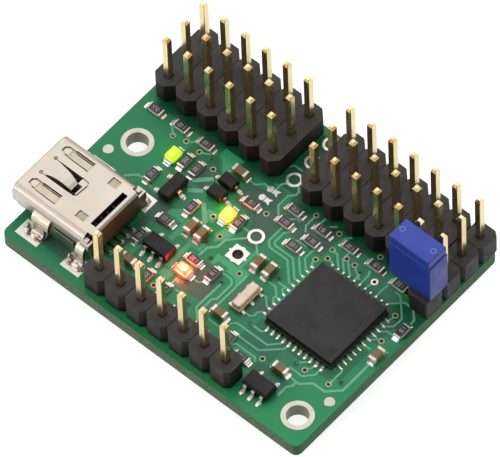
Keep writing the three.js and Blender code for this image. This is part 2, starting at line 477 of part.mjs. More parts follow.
// ---------------------------------------------------------------- shorting block
{
  const [x, y] = JUMPER_C;
  const hl = JUMPER_L / 2, hw = JUMPER_W / 2, z0 = JUMPER_Z0, z1 = JUMPER_Z1, neck = z1 - JUMPER_CAP;
  const r = (dl, dr, dy, c, z) => octa(px(x - hl + dl), px(x + hl - dr), py(y - hw + dy), py(y + hw - dy), c, pz(z));
  const body = loft([
    r(0.14, 0.14, 0.1, 0.1, z0), r(0.04, 0.04, 0.03, 0.07, z0 + 0.12), r(0, 0, 0, 0.06, z0 + 0.3),
    r(0, 0, 0, 0.06, neck - 0.08), r(0.05, 0.05, 0.05, 0.06, neck), r(0.14, 0.2, 0.14, 0.06, neck + 0.03),
    r(0.14, 0.2, 0.14, 0.06, neck + 0.17), r(0.03, 0.12, 0.03, 0.06, neck + 0.22),
    r(0.03, 0.12, 0.03, 0.06, z1 - 0.1), r(0.1, 0.2, 0.1, 0.1, z1),
  ]);
  const minus = [];
  // two contact cavities, open at the bottom, joined by a slot for the clip's bridge
  [-PITCH / 2, PITCH / 2].forEach((d) => {
    minus.push(box(px(x + d) - 0.86, px(x + d) + 0.74, py(y) - 0.9, py(y) + 0.9, pz(z0 - 0.5), pz(8.6)));
  });
  minus.push(box(px(x) - 1.0, px(x) + 1.0, py(y) + 0.6, py(y) + 0.9, pz(7.2), pz(8.6)));
  // two ring-shaped moulding dimples in the cap
  const disc = (xc, yc, rad, a, b) => loft([a, b].map((z) => Array.from({ length: 20 }, (_, i) => {
    const t = (2 * Math.PI * i) / 20;
    return [px(xc) + rad * Math.cos(t), py(yc) + rad * Math.sin(t), pz(z)];
  })));
  let housing = toManifold(csg(body, [], minus));
  [-1.95, 1.72].forEach((d) => {
    const ring = toManifold(disc(x + d, y + 0.13, 0.34, z1 - 0.12, z1 + 0.2)).subtract(toManifold(disc(x + d, y + 0.13, 0.15, z1 - 0.2, z1 + 0.3)));
    housing = housing.subtract(ring);
  });
  addMesh('shorting_block_housing', fromManifold(housing), 0x2c3fa6, 0.42, 0.0);
  // Clip: two spring forks joined by a bridge along the back of the cavities.
  const bx = (x0, x1, y0, y1, a, b) => box(px(x0), px(x1), py(y0), py(y1), pz(a), pz(b));
  const parts = [];
  [-PITCH / 2, PITCH / 2].forEach((d) => {
    const xc = x + d;
    parts.push(bx(xc - 0.5, xc + 0.38, y + 0.68, y + 0.84, 3.4, 8.4));   // back leaf
  });
  addMesh('shorting_block_clip', csg(bx(x - PITCH / 2 - 0.5, x + PITCH / 2 + 0.38, y + 0.68, y + 0.84, 7.4, 8.4), parts), 0xc9b27a, 0.35, 0.9);
}

export default group;
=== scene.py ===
import bpy
import math
import random
from mathutils import Matrix, Vector


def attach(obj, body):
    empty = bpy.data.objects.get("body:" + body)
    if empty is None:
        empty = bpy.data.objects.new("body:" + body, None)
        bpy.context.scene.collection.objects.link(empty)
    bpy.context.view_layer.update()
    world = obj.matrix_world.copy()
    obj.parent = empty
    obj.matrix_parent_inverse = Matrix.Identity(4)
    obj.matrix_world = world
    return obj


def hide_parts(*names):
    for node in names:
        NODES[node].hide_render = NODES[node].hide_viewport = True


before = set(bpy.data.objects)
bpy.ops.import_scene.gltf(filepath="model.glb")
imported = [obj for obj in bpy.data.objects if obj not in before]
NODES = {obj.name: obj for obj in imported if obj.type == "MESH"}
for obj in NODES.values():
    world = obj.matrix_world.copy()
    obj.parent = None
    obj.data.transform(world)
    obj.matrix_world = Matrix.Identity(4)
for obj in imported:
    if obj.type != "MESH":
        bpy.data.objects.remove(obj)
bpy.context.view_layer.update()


random.seed(7)

# ------------------------------------------------------------------ units
# Board-corner millimetres (z from the board's top face) to row-frame metres.
CX, CY, BT = 17.87, 13.97, 1.57
PITCH = 2.54
COL0_X, ROW0_Y = 1.387, 21.647
STRIP_X, STRIP_Y0 = 34.5, 19.22
SERIAL_X0, SERIAL_Y = 10.508, 1.839
MM = 0.001


def P(x, y, z=0.0):
    return ((x - CX) * MM, (y - CY) * MM, (z + BT) * MM)


# ------------------------------------------------------------------ node helpers
def lin(c):
    """sRGB 0..255 to linear."""
    out = []
    for v in c:
        v = v / 255.0
        out.append(v / 12.92 if v <= 0.04045 else ((v + 0.055) / 1.055) ** 2.4)
    return tuple(out)


class NT:
    def __init__(self, name):
        self.m = bpy.data.materials.new(name)
        self.m.use_nodes = True
        self.t = self.m.node_tree
        self.t.nodes.clear()
        self.out = self.t.nodes.new("ShaderNodeOutputMaterial")
        self.b = self.t.nodes.new("ShaderNodeBsdfPrincipled")
        self.t.links.new(self.b.outputs[0], self.out.inputs[0])
        self.co = self.t.nodes.new("ShaderNodeTexCoord")

    def n(self, kind, **kw):
        node = self.t.nodes.new(kind)
        for k, v in kw.items():
            setattr(node, k, v)
        return node

    def link(self, a, b):
        self.t.links.new(a, b)

    def noise(self, scale, detail=3.0, rough=0.55, dist=0.0, src=None):
        n = self.n("ShaderNodeTexNoise")
        n.inputs["Scale"].default_value = scale
        n.inputs["Detail"].default_value = detail
        n.inputs["Roughness"].default_value = rough
        n.inputs["Distortion"].default_value = dist
        self.link(src or self.co.outputs["Object"], n.inputs["Vector"])
        return n.outputs["Fac"]

    def stretch(self, sx, sy, sz):
        mp = self.n("ShaderNodeMapping")
        mp.inputs["Scale"].default_value = (sx, sy, sz)
        self.link(self.co.outputs["Object"], mp.inputs["Vector"])
        return mp.outputs[0]

    def ramp(self, fac, stops):
        r = self.n("ShaderNodeValToRGB")
        while len(r.color_ramp.elements) > 1:
            r.color_ramp.elements.remove(r.color_ramp.elements[-1])
        r.color_ramp.elements[0].position = stops[0][0]
        r.color_ramp.elements[0].color = (*stops[0][1], 1)
        for pos, c in stops[1:]:
            e = r.color_ramp.elements.new(pos)
            e.color = (*c, 1)
        self.link(fac, r.inputs[0])
        return r.outputs[0]

    def mix(self, fac, a, b, mode="MIX"):
        m = self.n("ShaderNodeMix", data_type="RGBA", blend_type=mode)
        for i, v in ((0, fac), (6, a), (7, b)):
            if isinstance(v, (int, float)):
                m.inputs[i].default_value = v
            elif isinstance(v, tuple):
                m.inputs[i].default_value = (*v, 1) if len(v) == 3 else v
            else:
                self.link(v, m.inputs[i])
        return m.outputs[2]

    def math(self, op, a, b=0.0, clamp=False):
        m = self.n("ShaderNodeMath", operation=op, use_clamp=clamp)
        for i, v in ((0, a), (1, b)):
            if isinstance(v, (int, float)):
                m.inputs[i].default_value = v
            else:
                self.link(v, m.inputs[i])
        return m.outputs[0]

    def range(self, v, a, b, c, d):
        m = self.n("ShaderNodeMapRange")
        self.link(v, m.inputs[0])
        for i, x in enumerate((a, b, c, d)):
            m.inputs[i + 1].default_value = x
        return m.outputs[0]

    def bump(self, height, strength, distance, prev=None):
        b = self.n("ShaderNodeBump")
        b.inputs["Strength"].default_value = strength
        b.inputs["Distance"].default_value = distance
        self.link(height, b.inputs["Height"])
        if prev is not None:
            self.link(prev, b.inputs["Normal"])
        return b.outputs[0]

    def color(self, c):
        self.link(c, self.b.inputs["Base Color"])

    def set(self, **kw):
        for k, v in kw.items():
            self.b.inputs[k.replace("_", " ")].default_value = v


def surface(name, base, rough, metal=0.0, vary=0.12, grain=6000.0, blotch=400.0,
            bump=0.15, dist=0.00002, spec=0.5, coat=0.0, coat_rough=0.2, wear=None, rough_vary=0.12, tint=None):
    """A procedural finish: two sizes of colour variation, roughness variation, grain in the bump."""
    k = NT(name)
    lo = tuple(max(0.0, v * (1 - vary)) for v in base)
    hi = tuple(min(1.0, v * (1 + vary)) for v in base)
    big = k.noise(blotch, 4.0, 0.6)
    small = k.noise(grain, 2.0, 0.6)
    c1 = k.ramp(big, [(0.3, lo), (0.7, hi)])
    if tint:
        c1 = k.mix(k.range(k.noise(blotch * 0.6, 3.0, 0.5, 0.4), 0.45, 0.75, 0.0, 0.6), c1, tint)
    c2 = k.mix(k.range(small, 0.35, 0.65, 0.0, 0.35), c1, lo)
    if wear:
        c2 = k.mix(k.range(k.noise(blotch * 2.2, 6.0, 0.75), 0.62, 0.72, 0.0, 0.6), c2, wear)
    k.color(c2)
    k.link(k.range(k.noise(blotch * 1.7, 4.0, 0.6), 0.3, 0.7, max(0.02, rough - rough_vary), min(1.0, rough + rough_vary)), k.b.inputs["Roughness"])
    k.link(k.bump(small, bump, dist, k.bump(big, bump * 0.6, dist * 3)), k.b.inputs["Normal"])
    k.set(Metallic=metal, Specular_IOR_Level=spec, Coat_Weight=coat, Coat_Roughness=coat_rough)
    return k.m


def moulded(name, top, side, rough, spec=0.35, grain=5200, blotch=520, bump=0.25, scuff=None, vary=0.14):
    """Dark moulded plastic: the top faces are painted lighter and the side walls darker, as painted light and shade,
    with dusty scuffs on the top faces.
    """
    k = NT(name)
    g = k.n("ShaderNodeNewGeometry")
    sep = k.n("ShaderNodeSeparateXYZ")
    k.link(g.outputs["Normal"], sep.inputs[0])
    # faces that point up take the lighter colour and the side walls the darker one: painted light and shade
    up = k.range(sep.outputs[2], 0.15, 0.85, 0.0, 1.0)
    big = k.noise(blotch, 5.0, 0.65, 0.3)
    small = k.noise(grain, 2.0, 0.6)
    lo = tuple(v * (1 - vary) for v in top)
    hi = tuple(v * (1 + vary) for v in top)
    t = k.ramp(big, [(0.32, lo), (0.68, hi)])
    sd = k.ramp(big, [(0.32, tuple(v * (1 - vary) for v in side)), (0.68, tuple(v * (1 + vary) for v in side))])
    c = k.mix(up, sd, t)
    if scuff:
        c = k.mix(k.math("MULTIPLY", up, k.range(k.noise(blotch * 2.6, 6.0, 0.75), 0.56, 0.70, 0.0, 0.7)), c, scuff)
    c = k.mix(k.range(small, 0.38, 0.62, 0.0, 0.4), c, lo)
    # lighter patches on the slanted faces between the tops and the sides
    az = k.math("ABSOLUTE", sep.outputs[2])
    edge = k.math("MULTIPLY", k.range(az, 0.25, 0.4, 0.0, 1.0), k.range(az, 0.88, 0.97, 1.0, 0.0))
    c = k.mix(k.math("MULTIPLY", edge, k.range(k.noise(blotch * 3.0, 4.0, 0.7), 0.4, 0.6, 0.15, 0.6)), c, tuple(min(1.0, v * 2.4) for v in top))
    k.color(c)
    k.link(k.range(k.noise(blotch * 1.7, 4.0, 0.6), 0.3, 0.7, rough - 0.08, min(1.0, rough + 0.12)), k.b.inputs["Roughness"])
    k.link(k.bump(small, bump, 0.00002, k.bump(big, bump * 0.5, 0.00005)), k.b.inputs["Normal"])
    k.set(Metallic=0.0, Specular_IOR_Level=spec)
    return k.m


# ------------------------------------------------------------------ materials
def mask_material(name, low, high, speck, gloss=0.30, edge=False):
    """Green solder mask over laminate: cloudy tone, weave in the bump, glossy coat."""
    k = NT(name)
    cloud = k.noise(180.0, 4.0, 0.6, 0.2)
    fine = k.noise(2600.0, 3.0, 0.6)
    base = k.ramp(cloud, [(0.28, low), (0.72, high)])
    base = k.mix(k.range(fine, 0.45, 0.75, 0.0, 0.30), base, speck)
    sepx = k.n("ShaderNodeSeparateXYZ")
    k.link(k.co.outputs["Object"], sepx.inputs[0])
    base = k.mix(k.range(sepx.outputs[0], -0.018, -0.004, 0.5, 0.0), base, tuple(v * 0.82 for v in low))
    # glass weave under the mask
    wx = k.n("ShaderNodeTexWave", wave_type="BANDS", bands_direction="X")
    wx.inputs["Scale"].default_value = 900.0
    wx.inputs["Distortion"].default_value = 1.2
    wx.inputs["Detail"].default_value = 2.0
    k.link(k.co.outputs["Object"], wx.inputs["Vector"])
    wy = k.n("ShaderNodeTexWave", wave_type="BANDS", bands_direction="Y")
    wy.inputs["Scale"].default_value = 900.0
    wy.inputs["Distortion"].default_value = 1.2
    wy.inputs["Detail"].default_value = 2.0
    k.link(k.co.outputs["Object"], wy.inputs["Vector"])
    weave = k.math("MULTIPLY", wx.outputs["Fac"], wy.outputs["Fac"])
    base = k.mix(k.range(weave, 0.2, 0.9, 0.0, 0.10), base, speck)
    normal = k.bump(weave, 0.10, 0.00002, k.bump(cloud, 0.05, 0.0001))
    if edge:
        g = k.n("ShaderNodeNewGeometry")
        sep = k.n("ShaderNodeSeparateXYZ")
        k.link(g.outputs["True Normal"], sep.inputs[0])
        side = k.math("LESS_THAN", k.math("ABSOLUTE", sep.outputs[2]), 0.5)
        # cut edge of the laminate: fibre layers, rough and olive
        layers = k.noise(1.0, 5.0, 0.7, 0.0, k.stretch(500, 500, 9000))
        fibre = k.noise(5200.0, 4.0, 0.75)
        ec = k.ramp(layers, [(0.3, lin((86, 112, 84))), (0.52, lin((114, 142, 110))), (0.75, lin((144, 164, 130)))])
        ec = k.mix(k.range(fibre, 0.44, 0.64, 0.0, 0.7), ec, lin((44, 66, 46)))
        grit = k.noise(2300.0, 3.0, 0.7, 0.3)
        ec = k.mix(k.range(grit, 0.54, 0.68, 0.0, 0.6), ec, lin((112, 116, 92)))
        ec = k.mix(k.range(k.noise(700.0, 4.0, 0.7), 0.5, 0.75, 0.0, 0.45), ec, lin((58, 104, 68)))
        # the edge faces turned to +X are mixed towards darker green: painted shade on that side
        ec = k.mix(k.range(sep.outputs[0], 0.5, 0.9, 0.0, 0.45), ec, lin((54, 134, 76)))
        hole = k.n("ShaderNodeVectorMath", operation="DISTANCE")
        k.link(k.co.outputs["Object"], hole.inputs[0])
        hole.inputs[1].default_value = tuple(P(33.9, 1.6, 0.0))
        base = k.mix(k.range(hole.outputs["Value"], 0.0018, 0.0062, 0.7, 0.0), base, lin((16, 142, 80)))
        base = k.mix(side, base, ec)
        k.link(k.range(side, 0.0, 1.0, gloss, 0.75), k.b.inputs["Roughness"])
        normal = k.bump(k.math("MULTIPLY", side, fibre), 0.6, 0.00006, normal)
    else:
        k.link(k.range(cloud, 0.3, 0.7, gloss - 0.05, gloss + 0.08), k.b.inputs["Roughness"])
    k.color(base)
    k.link(normal, k.b.inputs["Normal"])
    k.set(Metallic=0.0, Specular_IOR_Level=0.3, Coat_Weight=0.0)
    return k.m


MASK = mask_material("mask_green", lin((18, 127, 79)), lin((30, 142, 93)), lin((44, 149, 102)), edge=True)
MASK_COPPER = mask_material("mask_over_copper", lin((50, 162, 110)), lin((64, 174, 122)), lin((80, 180, 132)))
MASK_TRACE = mask_material("mask_over_trace", lin((92, 176, 136)), lin((110, 190, 152)), lin((126, 196, 162)), gloss=0.26)
# greyer mask over bare laminate; also used as painted shade behind the socket
MASK_BARE_AND_SHADE = mask_material("mask_over_laminate_and_painted_shade", lin((52, 94, 76)), lin((66, 106, 88)), lin((76, 114, 96)), gloss=0.34)
# warmer, lighter mask for a strip along the near edge: painted light
MASK_PAINTED_LIGHT = mask_material("mask_painted_edge_light", lin((36, 138, 74)), lin((48, 150, 86)), lin((62, 156, 96)), gloss=0.36)
MASK_MID = mask_material("mask_thin", lin((40, 116, 84)), lin((52, 128, 96)), lin((62, 132, 102)), gloss=0.32)
# darker mask for painted shadows of the headers and the shorting block
MASK_PAINTED_SHADOW = mask_material("mask_painted_shadow", lin((10, 84, 52)), lin((18, 98, 62)), lin((28, 106, 70)), gloss=0.34)
MASK_DULL = mask_material("mask_dull", lin((28, 106, 76)), lin((38, 116, 84)), lin((48, 122, 92)), gloss=0.32)
# darker mask for painted shade beside the chips and in front of the headers
MASK_PAINTED_SHADE = mask_material("mask_painted_shade", lin((14, 102, 64)), lin((25, 118, 77)), lin((38, 126, 86)), gloss=0.32)
PLASTIC = moulded("header_plastic_black", lin((63, 61, 61)), lin((27, 26, 26)), 0.55, spec=0.28, scuff=lin((94, 90, 89)), vary=0.22)
CHIP = moulded("chip_epoxy", lin((42, 41, 43)), lin((18, 18, 18)), 0.5, spec=0.35, blotch=420, bump=0.2, vary=0.08, scuff=lin((50, 48, 48)))
CHIP_DARK = moulded("chip_epoxy_dark", lin((34, 30, 32)), lin((18, 15, 16)), 0.5, spec=0.28, blotch=700, scuff=lin((46, 42, 42)))


def plated_pin():
    """Thin gold over square wire: drawn lengthwise, with faint lines along the wire."""
    k = NT("pin_gold")
    draw = k.noise(1.0, 3.0, 0.6, 0.0, k.stretch(9000, 9000, 260))
    cloud = k.noise(420.0, 3.0, 0.55)
    c = k.ramp(cloud, [(0.3, lin((222, 200, 150))), (0.7, lin((232, 216, 172)))])
    c = k.mix(k.range(draw, 0.4, 0.7, 0.0, 0.45), c, lin((204, 182, 130)))
    sep = k.n("ShaderNodeSeparateXYZ")
    k.link(k.co.outputs["Object"], sep.inputs[0])
    tip = k.range(sep.outputs[2], 0.0094, 0.0099, 0.0, 1.0)
    some = k.range(k.noise(1.0, 1.0, 0.5, 0.0, k.stretch(190, 190, 0)), 0.56, 0.66, 0.05, 0.7)
    c = k.mix(k.math("MULTIPLY", tip, some), c, lin((216, 166, 110)))
    k.color(c)
    k.link(k.range(draw, 0.3, 0.7, 0.16, 0.30), k.b.inputs["Roughness"])
    k.link(k.bump(draw, 0.12, 0.00001), k.b.inputs["Normal"])
    k.set(Metallic=1.0)
    return k.m


GOLD = plated_pin()
SILVER = surface("solder_tin", lin((218, 215, 209)), 0.27, 1.0, vary=0.10, grain=3800, blotch=1500, bump=0.28, dist=0.00004, wear=lin((160, 156, 148)))
LEADM = surface("lead_tin", lin((188, 184, 174)), 0.38, 1.0, vary=0.10, grain=3800, blotch=1500, bump=0.2, dist=0.00003, wear=lin((130, 126, 116)))


def ring_material():
    """Tinned ring: bright on the face; down the plated wall of the hole it is painted dull grey as painted shade, and
    less metallic.
    """
    m = surface("ring_tin", lin((190, 188, 175)), 0.36, 0.85, vary=0.08, grain=3600, blotch=900, bump=0.3, dist=0.00003, wear=lin((176, 172, 158)))
    t = m.node_tree
    b = t.nodes["Principled BSDF"]
    g = t.nodes.new("ShaderNodeNewGeometry")
    sep = t.nodes.new("ShaderNodeSeparateXYZ")
    t.links.new(g.outputs["True Normal"], sep.inputs[0])
    ab = t.nodes.new("ShaderNodeMath")
    ab.operation = "ABSOLUTE"
    t.links.new(sep.outputs[2], ab.inputs[0])
    mp = t.nodes.new("ShaderNodeMapRange")
    for i, v in enumerate((0.3, 0.7, 0.0, 1.0)):
        mp.inputs[i + 1].default_value = v
    t.links.new(ab.outputs[0], mp.inputs[0])
    mx = t.nodes.new("ShaderNodeMix")
    mx.data_type = "RGBA"
    src = b.inputs["Base Color"].links[0].from_socket
    t.links.new(mp.outputs[0], mx.inputs[0])
    mx.inputs[6].default_value = (*lin((128, 128, 104)), 1)
    t.links.new(src, mx.inputs[7])
    t.links.new(mx.outputs[2], b.inputs["Base Color"])
    mt = t.nodes.new("ShaderNodeMapRange")
    for i, v in enumerate((0.3, 0.7, 0.25, 0.85)):
        mt.inputs[i + 1].default_value = v
    t.links.new(ab.outputs[0], mt.inputs[0])
    t.links.new(mt.outputs[0], b.inputs["Metallic"])
    return m


RING = ring_material()
LUMP = surface("socket_solder", lin((206, 195, 178)), 0.3, 0.9, vary=0.05, grain=2600, blotch=900, bump=0.12, dist=0.00003, wear=lin((196, 186, 168)))
TIN = surface("pad_tin", lin((228, 226, 218)), 0.34, 0.85, vary=0.06, grain=3600, blotch=900, bump=0.3, dist=0.00003)
ENDCAP = surface("terminal_tin", lin((214, 208, 200)), 0.38, 0.8, vary=0.10, grain=5200, blotch=1300, bump=0.3, dist=0.00002, wear=lin((168, 150, 130)))
STEEL = surface("socket_nickel", lin((196, 187, 177)), 0.40, 1.0, vary=0.04, grain=3000, blotch=200, bump=0.03, dist=0.00001, tint=lin((190, 177, 165)), rough_vary=0.05)
PADWHITE = surface("pad_bright_tin", lin((246, 244, 238)), 0.46, 0.55, vary=0.04, grain=3600, blotch=900, bump=0.2, dist=0.00003)


def paint_rear_shade_and_board_reflection(m):
    """Darken the faces of the shell's rear flap and the rear strip of its top: a painted dark reflection of the black
    header plastics behind them.
    """
    t = m.node_tree
    b = t.nodes["Principled BSDF"]
    g = t.nodes.new("ShaderNodeNewGeometry")
    sep = t.nodes.new("ShaderNodeSeparateXYZ")
    t.links.new(g.outputs["True Normal"], sep.inputs[0])
    mp = t.nodes.new("ShaderNodeMapRange")
    for i, v in enumerate((0.7, 0.95, 0.0, 0.86)):
        mp.inputs[i + 1].default_value = v
    t.links.new(sep.outputs[0], mp.inputs[0])
    tc = t.nodes.new("ShaderNodeTexCoord")
    sp = t.nodes.new("ShaderNodeSeparateXYZ")
    t.links.new(tc.outputs["Object"], sp.inputs[0])
    edge = t.nodes.new("ShaderNodeMapRange")
    for i, v in enumerate((-0.00962, -0.00948, 0.0, 0.8)):
        edge.inputs[i + 1].default_value = v
    t.links.new(sp.outputs[0], edge.inputs[0])
    high = t.nodes.new("ShaderNodeMath")
    high.operation = "GREATER_THAN"
    high.inputs[1].default_value = 0.00505
    t.links.new(sp.outputs[2], high.inputs[0])
    both = t.nodes.new("ShaderNodeMath")
    both.operation = "MULTIPLY"
    t.links.new(edge.outputs[0], both.inputs[0])
    t.links.new(high.outputs[0], both.inputs[1])
    top = t.nodes.new("ShaderNodeMath")
    top.operation = "MAXIMUM"
    t.links.new(mp.outputs[0], top.inputs[0])
    t.links.new(both.outputs[0], top.inputs[1])
    mx = t.nodes.new("ShaderNodeMix")
    mx.data_type = "RGBA"
    src = b.inputs["Base Color"].links[0].from_socket
    t.links.new(top.outputs[0], mx.inputs[0])
    t.links.new(src, mx.inputs[6])
    mx.inputs[7].default_value = (*lin((70, 66, 50)), 1)
    # the lower side walls are painted duller and greenish: a painted reflection of the green mask beside them
    flank = t.nodes.new("ShaderNodeMath")
    flank.operation = "ABSOLUTE"
    t.links.new(sep.outputs[1], flank.inputs[0])
    upright = t.nodes.new("ShaderNodeMapRange")
    for i, v in enumerate((0.8, 0.97, 0.0, 1.0)):
        upright.inputs[i + 1].default_value = v
    t.links.new(flank.outputs[0], upright.inputs[0])
    low = t.nodes.new("ShaderNodeMapRange")
    for i, v in enumerate((0.0034, 0.0039, 0.62, 0.0)):
        low.inputs[i + 1].default_value = v
    t.links.new(sp.outputs[2], low.inputs[0])
    wall = t.nodes.new("ShaderNodeMath")
    wall.operation = "MULTIPLY"
    off = t.nodes.new("ShaderNodeMath")
    off.operation = "COMPARE"
    off.inputs[1].default_value = -0.00755
    off.inputs[2].default_value = 0.0039
    t.links.new(sp.outputs[1], off.inputs[0])
    shell = t.nodes.new("ShaderNodeMath")
    shell.operation = "MULTIPLY"
    t.links.new(upright.outputs[0], shell.inputs[0])
    t.links.new(off.outputs[0], shell.inputs[1])
    t.links.new(shell.outputs[0], wall.inputs[0])
    t.links.new(low.outputs[0], wall.inputs[1])
    green = t.nodes.new("ShaderNodeMix")
    green.data_type = "RGBA"
    t.links.new(wall.outputs[0], green.inputs[0])
    t.links.new(mx.outputs[2], green.inputs[6])
    green.inputs[7].default_value = (*lin((112, 158, 128)), 1)
    t.links.new(green.outputs[2], b.inputs["Base Color"])


paint_rear_shade_and_board_reflection(STEEL)
STEEL_ARM = surface("socket_nickel_arm", lin((186, 176, 160)), 0.42, 1.0, vary=0.06, grain=3000, blotch=700, bump=0.05, dist=0.00001, tint=lin((176, 166, 146)))
STEEL_DARK = surface("socket_nickel_shaded", lin((180, 169, 151)), 0.5, 0.8, vary=0.08, grain=3000, blotch=700, bump=0.05, dist=0.00001, tint=lin((160, 146, 124)))
LCP = surface("socket_insulator", lin((24, 23, 22)), 0.55, vary=0.2, grain=5200, blotch=800, bump=0.2, dist=0.00002)
DARK = surface("hole_dark", lin((26, 24, 16)), 0.75, vary=0.35, grain=4000, blotch=900, bump=0.2)
CERAMIC = surface("resistor_ceramic", lin((196, 192, 186)), 0.6, vary=0.08, grain=5200, blotch=900, bump=0.2)
RESIST = surface("resistor_glass", lin((44, 38, 42)), 0.32, vary=0.18, grain=5200, blotch=1100, bump=0.2, spec=0.5)
PRINT = surface("value_print", lin((188, 184, 188)), 0.6, vary=0.12, grain=5200, blotch=1500, bump=0.2)
TAN = surface("capacitor_ceramic", lin((126, 104, 60)), 0.42, vary=0.14, grain=4200, blotch=900, bump=0.25, wear=lin((116, 96, 58)), tint=lin((128, 112, 66)))
RES_BASE = surface("resonator_ceramic", lin((120, 88, 58)), 0.5, vary=0.2, grain=4200, blotch=1100, bump=0.25)
RES_EDGE = surface("resonator_gold_edge", lin((214, 196, 156)), 0.35, 0.9, vary=0.1, grain=4200, blotch=1100, bump=0.25)
LID = surface("resonator_lid", lin((197, 179, 167)), 0.36, 0.9, vary=0.05, grain=3600, blotch=500, bump=0.15)
BLUE = surface("shunt_blue", lin((31, 58, 170)), 0.45, vary=0.08, grain=5200, blotch=420, bump=0.15, dist=0.00002, spec=0.5, tint=lin((46, 70, 176)))
# lighter blue for the dimples: painted highlights
BLUE_DIMPLE_HIGHLIGHT = surface("shunt_blue_dimple_painted_highlight", lin((84, 116, 196)), 0.45, vary=0.08, grain=5200, blotch=900, bump=0.2)
LAMP_BASE = surface("lamp_base", lin((214, 210, 196)), 0.5, vary=0.06, grain=4200, blotch=900, bump=0.15)


def lamp_material(name, core, rim, strength):
    k = NT(name)
    n = k.noise(1400.0, 3.0, 0.6)
    g = k.n("ShaderNodeTexGradient", gradient_type="SPHERICAL")
    k.link(k.co.outputs["Generated"], g.inputs[0])
    mp = k.n("ShaderNodeMapping")
    mp.inputs["Location"].default_value = (-0.5, -0.5, -0.4)
    k.link(k.co.outputs["Generated"], mp.inputs[0])
    k.link(mp.outputs[0], g.inputs[0])
    f = k.math("ADD", k.math("MULTIPLY", g.outputs["Fac"], 1.5), k.math("MULTIPLY", k.math("SUBTRACT", n, 0.5), 0.2), True)
    c = k.ramp(f, [(0.34, rim), (0.86, core)])
    k.color(c)
    k.link(c, k.b.inputs["Emission Color"])
    k.link(k.range(f, 0.2, 0.9, strength * 0.55, strength), k.b.inputs["Emission Strength"])
    k.link(k.bump(n, 0.1, 0.00003), k.b.inputs["Normal"])
    k.set(Roughness=0.25)
    return k.m


LAMP_G = lamp_material("lamp_green_lit", (0.64, 0.92, 0.05), (0.36, 0.80, 0.0), 1.0)
LAMP_Y = lamp_material("lamp_yellow_lit", (1.0, 0.86, 0.20), (1.0, 0.26, 0.0), 1.6)
LAMP_R = lamp_material("lamp_red_lit", (1.0, 0.56, 0.27), (1.0, 0.09, 0.05), 2.0)


def glowing(name, base, light, strength):
    """A lamp's glowing part. For the lower body this is light through the resin above it; for the end terminals the
    glow is painted light from the lamp.
    """
    m = surface(name, base, 0.5, vary=0.08, grain=4200, blotch=900, bump=0.15)
    b = m.node_tree.nodes["Principled BSDF"]
    b.inputs["Emission Color"].default_value = (*light, 1)
    b.inputs["Emission Strength"].default_value = strength
    return m


GLOW = {"lamp_green": glowing("lamp_green_base", lin((150, 190, 90)), (0.2, 0.8, 0.02), 0.25),
        "lamp_yellow": glowing("lamp_yellow_base", lin((220, 130, 40)), (1.0, 0.24, 0.0), 1.9),
        "lamp_red": glowing("lamp_red_base", lin((220, 70, 60)), (1.0, 0.04, 0.03), 1.9)}
# the end terminals glow too: painted light from the lamp falling on them
END_PAINTED_GLOW = {"lamp_green": glowing("lamp_green_end_painted_glow", lin((206, 208, 190)), (0.3, 0.9, 0.05), 0.03),
           "lamp_yellow": glowing("lamp_yellow_end_painted_glow", lin((224, 200, 160)), (1.0, 0.32, 0.02), 0.4),
           "lamp_red": glowing("lamp_red_end_painted_glow", lin((224, 150, 130)), (1.0, 0.06, 0.04), 0.6)}


